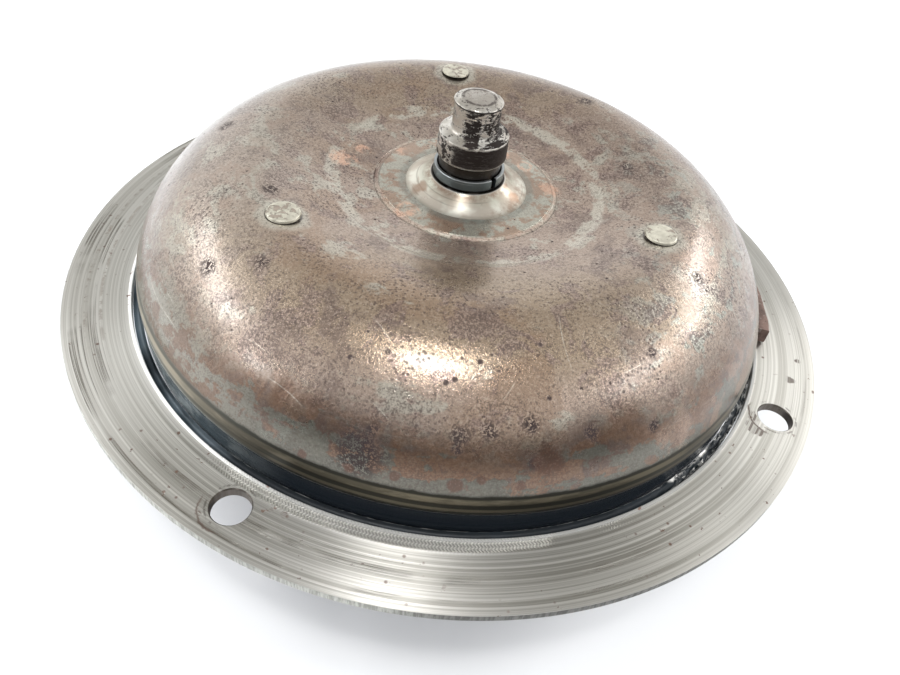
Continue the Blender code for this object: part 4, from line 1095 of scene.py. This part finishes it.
def weight_paint(place):
    """Rough bar steel under thick rust."""
    clouds = mottle(place, 0.0045, 4, 0.65)
    flecks = mottle(place, 0.0010, 4, 0.7)
    return {
        "Base Color": layered(
            rgb(0.095, 0.060, 0.050),
            (clouds.fade(0.4, 0.6), rgb(0.19, 0.125, 0.105)),
            (flecks.fade(0.56, 0.66) * 0.6, rgb(0.38, 0.33, 0.30)),
            (flecks.fade(0.42, 0.32) * 0.8, rgb(0.04, 0.028, 0.024)),
        ),
        "Metallic": 0.2,
        "Roughness": 0.5 + flecks * 0.3,
        "Normal": relief(flecks * 0.6 + clouds * 0.6, 0.0004),
    }


new_piece("balance_block", weight_mesh, new_finish("rusted_bar_steel", weight_paint),
          "housing", "balance_weight")

# The pump shell is the gearbox-side half of the case, pressed to the round of the oil circuit. Its
# flat middle is welded to the hub neck, and its lip stands inside the cover's skirt.
circuit_radius = 0.065
circuit_height = 0.059
shell_reach = 0.029
shell_wall = 0.003
shell_lip = 0.094
shell_lip_foot = 0.046
shell_plate = 0.041
shell_hole = 0.0303


def circuit_point(reach, angle):
    """Gives the point of a half section at this reach and angle from the middle of the oil circuit."""
    turn = math.radians(angle)
    return circuit_radius + reach * math.cos(turn), circuit_height + reach * math.sin(turn)


def circuit_arc(reach, first, last, cuts=48):
    """Gives the points of an arc round the oil circuit, which keep their places."""
    return [(*circuit_point(reach, angle), 0) for angle in np.linspace(first, last, cuts + 1)]


def height_turn(reach, height):
    """Gives the angle at which an arc round the circuit's underside reaches a height."""
    return math.degrees(math.asin((height - circuit_height) / reach))


lip_turn = height_turn(shell_reach, shell_lip_foot - 0.0006)
plate_turn = -180 - height_turn(shell_reach, shell_plate - 0.0008)
inner_turn = -180 - height_turn(shell_reach - shell_wall, shell_plate + shell_wall)
shell_line = rounded([
    (shell_lip - shell_wall, circuit_height, 0),
    (shell_lip, circuit_height, 0.0004),
    (shell_lip, shell_lip_foot, 0.0006),
    (circuit_point(shell_reach, lip_turn)[0] + 0.0012, shell_lip_foot, 0.0010),
    *circuit_arc(shell_reach, lip_turn, plate_turn),
    (circuit_point(shell_reach, plate_turn)[0] - 0.0016, shell_plate, 0.0014),
    (shell_hole, shell_plate, 0.0002),
    (shell_hole, shell_plate + shell_wall, 0.0002),
    *circuit_arc(shell_reach - shell_wall, inner_turn, 0),
])[:-1]


def shell_paint(place):
    """Pressed steel, brown and dull, with streaks of the press round the bowl."""
    parts = parts_of(place)
    x, y, height, radius = parts
    clouds = mottle(place, 0.026, 4, 0.6, 0.6)
    patches = mottle(place, 0.009, 5, 0.62, 0.5)
    grain = mottle(place, 0.0008, 4, 0.72)
    drawn = ringed(parts, height - radius, 0.05, 0.0016, 4, 0.65)
    dark = patches.fade(0.44, 0.36)
    burnt = radius.band(0.0345, 0.0040, 0.0026) * height.fade(shell_plate + 0.001, shell_plate + 0.0002)
    return {
        "Base Color": layered(
            rgb(0.235, 0.170, 0.130),
            (clouds.fade(0.40, 0.62), rgb(0.31, 0.245, 0.20)),
            ((patches * 0.6 + drawn * 0.4).fade(0.52, 0.60) * 0.6, rgb(0.36, 0.35, 0.30)),
            (dark * 0.6, rgb(0.16, 0.095, 0.065)),
            (burnt * 0.75, rgb(0.065, 0.070, 0.085)),
            (grain.fade(0.50, 0.60) * 0.5, rgb(0.10, 0.075, 0.060)),
        ),
        "Metallic": 0.72 - dark * 0.3,
        "Roughness": 0.32 + (patches - 0.5) * 0.2,
        "IOR": 2.1,
        "Normal": relief(grain * 0.6 + drawn * 0.3, 0.00013, relief(clouds, 0.0007)),
    }


shell_finish = new_finish("pressed_shell_steel", shell_paint)
new_piece("pressed_pump_shell", turned_mesh(shell_line), shell_finish,
          "housing", "pump_shell")

# One bead closes the case where the cover's skirt ends on the pump shell, and another ties the shell
# to the neck. Both were laid by machine, in even ripples.
bead_low, bead_high = levels("closing_weld")
bead_root = shell_lip + 0.0003
bead_section = [
    (bead_root, bead_high),
    (turned_radius - 0.0001, bead_high),
    (turned_radius - 0.0002, bead_high - 0.0007),
    (turned_radius - 0.0008, bead_high - 0.0014),
    (bead_root + 0.0018, bead_high - 0.0021),
    (bead_root + 0.0010, bead_low),
    (bead_root, bead_low),
]
neck_bead_low, neck_bead_high = levels("neck_weld")
neck_bead_reach = neck_bead_high - neck_bead_low
neck_bead_section = [(shell_hole + neck_bead_reach * math.cos(turn),
                      neck_bead_high + neck_bead_reach * 0.96 * math.sin(turn))
                     for turn in np.radians(np.linspace(0, -180, 11))]
ripple_depth = 0.10


def even_ripple(count, root):
    """Makes a ripple of this many waves, which draws the bead in towards its root."""
    root_radius, root_height = root

    def ripple(radius, height, azimuth):
        lag = 0.35 * math.cos(math.atan2(height - root_height, radius - root_radius))
        wave = abs(math.sin(math.radians(azimuth) * count / 2 + lag))
        drift = 0.5 + 0.5 * noise.noise(Vector(at(radius * 300, azimuth, 0)))
        share = 1 - ripple_depth * (1 - wave) - ripple_depth * 0.5 * drift
        return root_radius + (radius - root_radius) * share, root_height + (height - root_height) * share
    return ripple


def laid_weld_paint(place):
    """Weld metal with blue and straw heat colours and grey scale."""
    flecks = mottle(place, 0.0012, 4, 0.7)
    clouds = mottle(place, 0.008, 3, 0.6)
    return {
        "Base Color": layered(
            rgb(0.125, 0.135, 0.155),
            (clouds.fade(0.35, 0.65), rgb(0.20, 0.185, 0.16)),
            (flecks.fade(0.56, 0.66) * 0.6, rgb(0.42, 0.41, 0.38)),
        ),
        "Metallic": 0.8,
        "Roughness": 0.36 + (flecks - 0.5) * 0.3,
        "Normal": relief(flecks, 0.00012),
    }


laid_weld = new_finish("rippled_weld", laid_weld_paint)
closing_bead = weld_bead(bead_section, 1080, even_ripple(250, (bead_root, bead_high)))
neck_bead = weld_bead(neck_bead_section, 480, even_ripple(96, (shell_hole, neck_bead_high)))
new_piece("closing_bead", closing_bead, laid_weld, "housing", "closing_weld")
new_piece("neck_bead", neck_bead, laid_weld, "housing", "neck_weld")

# The hub neck is turned and ground where the gearbox's bush and seal run on it. Two slots in its end
# drive the oil pump, and its flange carries the shell.
neck_radius = 0.019
neck_bore = 0.0155
neck_flange = 0.030
neck_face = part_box("hub_neck")[1].z
neck_fillet = 0.0045
slot_width = 0.008
slot_height = 0.007
slot_rounding = 0.001
neck_line = rounded([
    (0.5 * (neck_bore + neck_flange), neck_face, 0),
    (neck_flange, neck_face, 0.0003),
    (neck_flange, shell_plate, 0),
    (neck_radius, shell_plate, neck_fillet),
    (neck_radius, 0.0008, 0.0002),
    (neck_radius - 0.0008, 0, 0.0002),
    (neck_bore + 0.0005, 0, 0.0001),
    (neck_bore, 0.0005, 0.0001),
    (neck_bore, neck_face - 0.0004, 0.0001),
    (neck_bore + 0.0004, neck_face, 0.0001),
    (0.5 * (neck_bore + neck_flange), neck_face, 0),
], 8)[:-1]


def worked_metal(light, dark, stain, pitch, roughness, stained):
    """Gives the paint of a machined piece: tool lines of this pitch, soft clouds and a few stains."""
    def paint(place):
        parts = parts_of(place)
        x, y, height, radius = parts
        tool = ringed(parts, height + radius, 0.10, pitch, 3, 0.65)
        clouds = mottle(place, 0.009, 4, 0.6)
        flecks = mottle(place, 0.0014, 4, 0.7)
        marks = (clouds * 0.6 + flecks * 0.4).fade(0.54, 0.62) * stained
        return {
            "Base Color": layered(
                rgb(*dark),
                ((tool * 0.7 + clouds * 0.3).fade(0.36, 0.64), rgb(*light)),
                (marks, rgb(*stain)),
            ),
            "Metallic": 1.0 - marks * 0.4,
            "Roughness": roughness + (flecks - 0.5) * 0.12 + marks * 0.12,
            "Normal": relief(tool * 0.7 + flecks * 0.3, 0.00006),
        }
    return paint


def neck_paint(place):
    """Ground steel: bright where the seal runs, straw and blue near the weld."""
    parts = parts_of(place)
    x, y, height, radius = parts
    tool = ringed(parts, height + radius, 0.12, 0.0004, 3, 0.65)
    clouds = mottle(place, 0.006, 4, 0.6)
    worn = height.band(0.0165, 0.0050, 0.0006).either(height.band(0.0290, 0.0016, 0.0005) * 0.8)
    straw = height.band(0.0350, 0.0030, 0.0022) * radius.fade(neck_radius + 0.004, neck_radius)
    marks = (clouds * 0.7 + tool * 0.3).fade(0.53, 0.66) * (1 - worn) * 0.7
    return {
        "Base Color": layered(
            rgb(0.50, 0.49, 0.46),
            (tool.fade(0.38, 0.62), rgb(0.64, 0.63, 0.60)),
            (worn * 0.6, rgb(0.76, 0.75, 0.72)),
            (straw * 0.6, rgb(0.52, 0.40, 0.24)),
            (height.fade(0.0365, 0.0395) * 0.65, rgb(0.17, 0.19, 0.25)),
            (marks * 0.5, rgb(0.30, 0.23, 0.17)),
        ),
        "Metallic": 1.0 - marks * 0.3,
        "Roughness": 0.25 + marks * 0.2 - worn * 0.07,
        "Normal": relief(tool, 0.00005),
    }


neck_finish = new_finish("ground_neck_steel", neck_paint)
neck = new_piece("ground_hub_neck", turned_mesh(neck_line, 160), neck_finish,
                 "housing", "hub_neck")
slots = bmesh.new()
for side in (-1, 1):
    block = Matrix.Translation((side * neck_radius, 0, 0))
    block @= Matrix.Diagonal((neck_bore, slot_width, 2 * slot_height, 1))
    made = bmesh.ops.create_cube(slots, size=1, matrix=block)
    crosswise = [edge for vertex in made["verts"] for edge in vertex.link_edges
                 if abs(edge.verts[0].co.x - edge.verts[1].co.x) > slot_rounding and edge.verts[0].co.z > 0]
    bmesh.ops.bevel(slots, geom=list(set(crosswise)), offset=slot_rounding, segments=3, affect="EDGES")
cut(neck, mesh_from(slots))
smooth(neck.data)

# Inside, the solids of the frame are kept, and each gets the metal it is made of: pressed steel
# shells and vanes, a cast stator, turned and hardened rings, bronze bushes and spring steel.
def dress(finish, *names):
    """Gives a finish to solids that keep their shape."""
    for name in names:
        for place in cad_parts[name].material_slots:
            place.material = finish


def numbered(name, count):
    """Lists the names of like pieces."""
    return [f"{name}_{number}" for number in range(1, count + 1)]


for name, light, dark, stain, pitch, roughness, stained, nodes in (
        ("oiled_pressed_steel", (0.46, 0.44, 0.40), (0.34, 0.32, 0.285), (0.22, 0.16, 0.10), 0.003, 0.36, 0.5,
         ["turbine_shell", "thrust_plate", "front_side_plate", "rear_side_plate"]),
        ("oiled_vane_steel", (0.50, 0.48, 0.43), (0.37, 0.35, 0.31), (0.30, 0.21, 0.12), 0.0022, 0.32, 0.5,
         ["turbine_vane_ring", "pump_vane_ring"]),
        ("turned_hub_steel", (0.56, 0.55, 0.52), (0.42, 0.41, 0.38), (0.26, 0.19, 0.13), 0.0007, 0.27, 0.5,
         ["turbine_hub", "freewheel_cam"]),
        ("hardened_race_steel", (0.60, 0.59, 0.57), (0.50, 0.49, 0.47), (0.34, 0.27, 0.19), 0.0004, 0.2, 0.35,
         ["freewheel_inner_race"]),
        ("formed_rivet_steel", (0.52, 0.50, 0.46), (0.38, 0.36, 0.33), (0.20, 0.15, 0.11), 0.0009, 0.38, 0.5,
         numbered("turbine_rivet", 6)),
        ("thrust_bronze", (0.66, 0.43, 0.20), (0.50, 0.31, 0.14), (0.25, 0.14, 0.07), 0.0006, 0.30, 0.45,
         ["front_thrust_washer", "middle_thrust_washer", "rear_thrust_washer", "pilot_bush"])):
    dress(new_finish(name, worked_metal(light, dark, stain, pitch, roughness, stained)), *nodes)


def cast_paint(place):
    """Cast aluminium with the fine skin of the mould and oil in its pores."""
    skin = mottle(place, 0.0010, 4, 0.75)
    clouds = mottle(place, 0.010, 4, 0.6)
    pores = specks(place, 0.0024, 0.16)
    return {
        "Base Color": layered(
            rgb(0.47, 0.455, 0.43),
            (clouds.fade(0.38, 0.62), rgb(0.60, 0.59, 0.57)),
            (skin.fade(0.52, 0.64) * 0.4, rgb(0.33, 0.30, 0.26)),
            (pores * 0.7, rgb(0.12, 0.10, 0.08)),
        ),
        "Metallic": 0.85 - pores * 0.5,
        "Roughness": 0.46 + (skin - 0.5) * 0.2,
        "Normal": relief(skin - pores * 0.8, 0.00016),
    }


def spring_paint(place):
    """Tempered spring steel, blue-brown along its length."""
    tempered = mottle(place, 0.0045, 3, 0.6)
    flecks = mottle(place, 0.0009, 3, 0.7)
    return {
        "Base Color": layered(
            rgb(0.23, 0.175, 0.125),
            (tempered.fade(0.38, 0.62), rgb(0.15, 0.17, 0.22)),
            (flecks.fade(0.56, 0.68) * 0.4, rgb(0.42, 0.41, 0.40)),
        ),
        "Metallic": 1.0,
        "Roughness": 0.30 + (flecks - 0.5) * 0.15,
        "Normal": relief(flecks, 0.00004),
    }


dress(new_finish("cast_stator_aluminium", cast_paint), "stator_wheel")
dress(new_finish("tempered_spring_steel", spring_paint),
      "front_stator_ring", "rear_stator_ring", *numbered("freewheel_spring", 8))

# The eight rollers of the freewheel are hardened and ground, with small chamfers at both ends.
roller_radius = 0.0035
roller_chamfer = 0.0004


def roller_paint(place):
    """Ground steel with fine lines and a few dark spots of oil."""
    height = place.node("SeparateXYZ", (), {0: place}, "Z")
    lines = mottle(place.node("CombineXYZ", (), {2: height * 2600}), 1.0, 2, 0.6)
    clouds = mottle(place, 0.0040, 3, 0.6)
    oil = clouds.fade(0.58, 0.66)
    return {
        "Base Color": layered(
            rgb(0.58, 0.57, 0.55),
            ((lines * 0.6 + clouds * 0.4).fade(0.38, 0.62), rgb(0.72, 0.71, 0.69)),
            (oil * 0.4, rgb(0.32, 0.24, 0.15)),
        ),
        "Metallic": 1.0,
        "Roughness": 0.15 + oil * 0.15,
        "Normal": relief(lines, 0.00003),
    }


roller_finish = new_finish("ground_roller_steel", roller_paint)
for number in range(1, 9):
    low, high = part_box(f"freewheel_roller_{number}")
    middle = (low + high) / 2
    roller_line = rounded([
        (0, high.z, 0),
        (roller_radius - roller_chamfer, high.z, 0.0001),
        (roller_radius, high.z - roller_chamfer, 0.0001),
        (roller_radius, low.z + roller_chamfer, 0.0001),
        (roller_radius - roller_chamfer, low.z, 0.0001),
        (0, low.z, 0),
    ])
    roller = turned_mesh(roller_line, 48, closed=False)
    roller.transform(Matrix.Translation((middle.x, middle.y, 0)))
    new_piece(f"ground_roller_{number}", roller, roller_finish,
              f"roller_{number}", f"freewheel_roller_{number}")
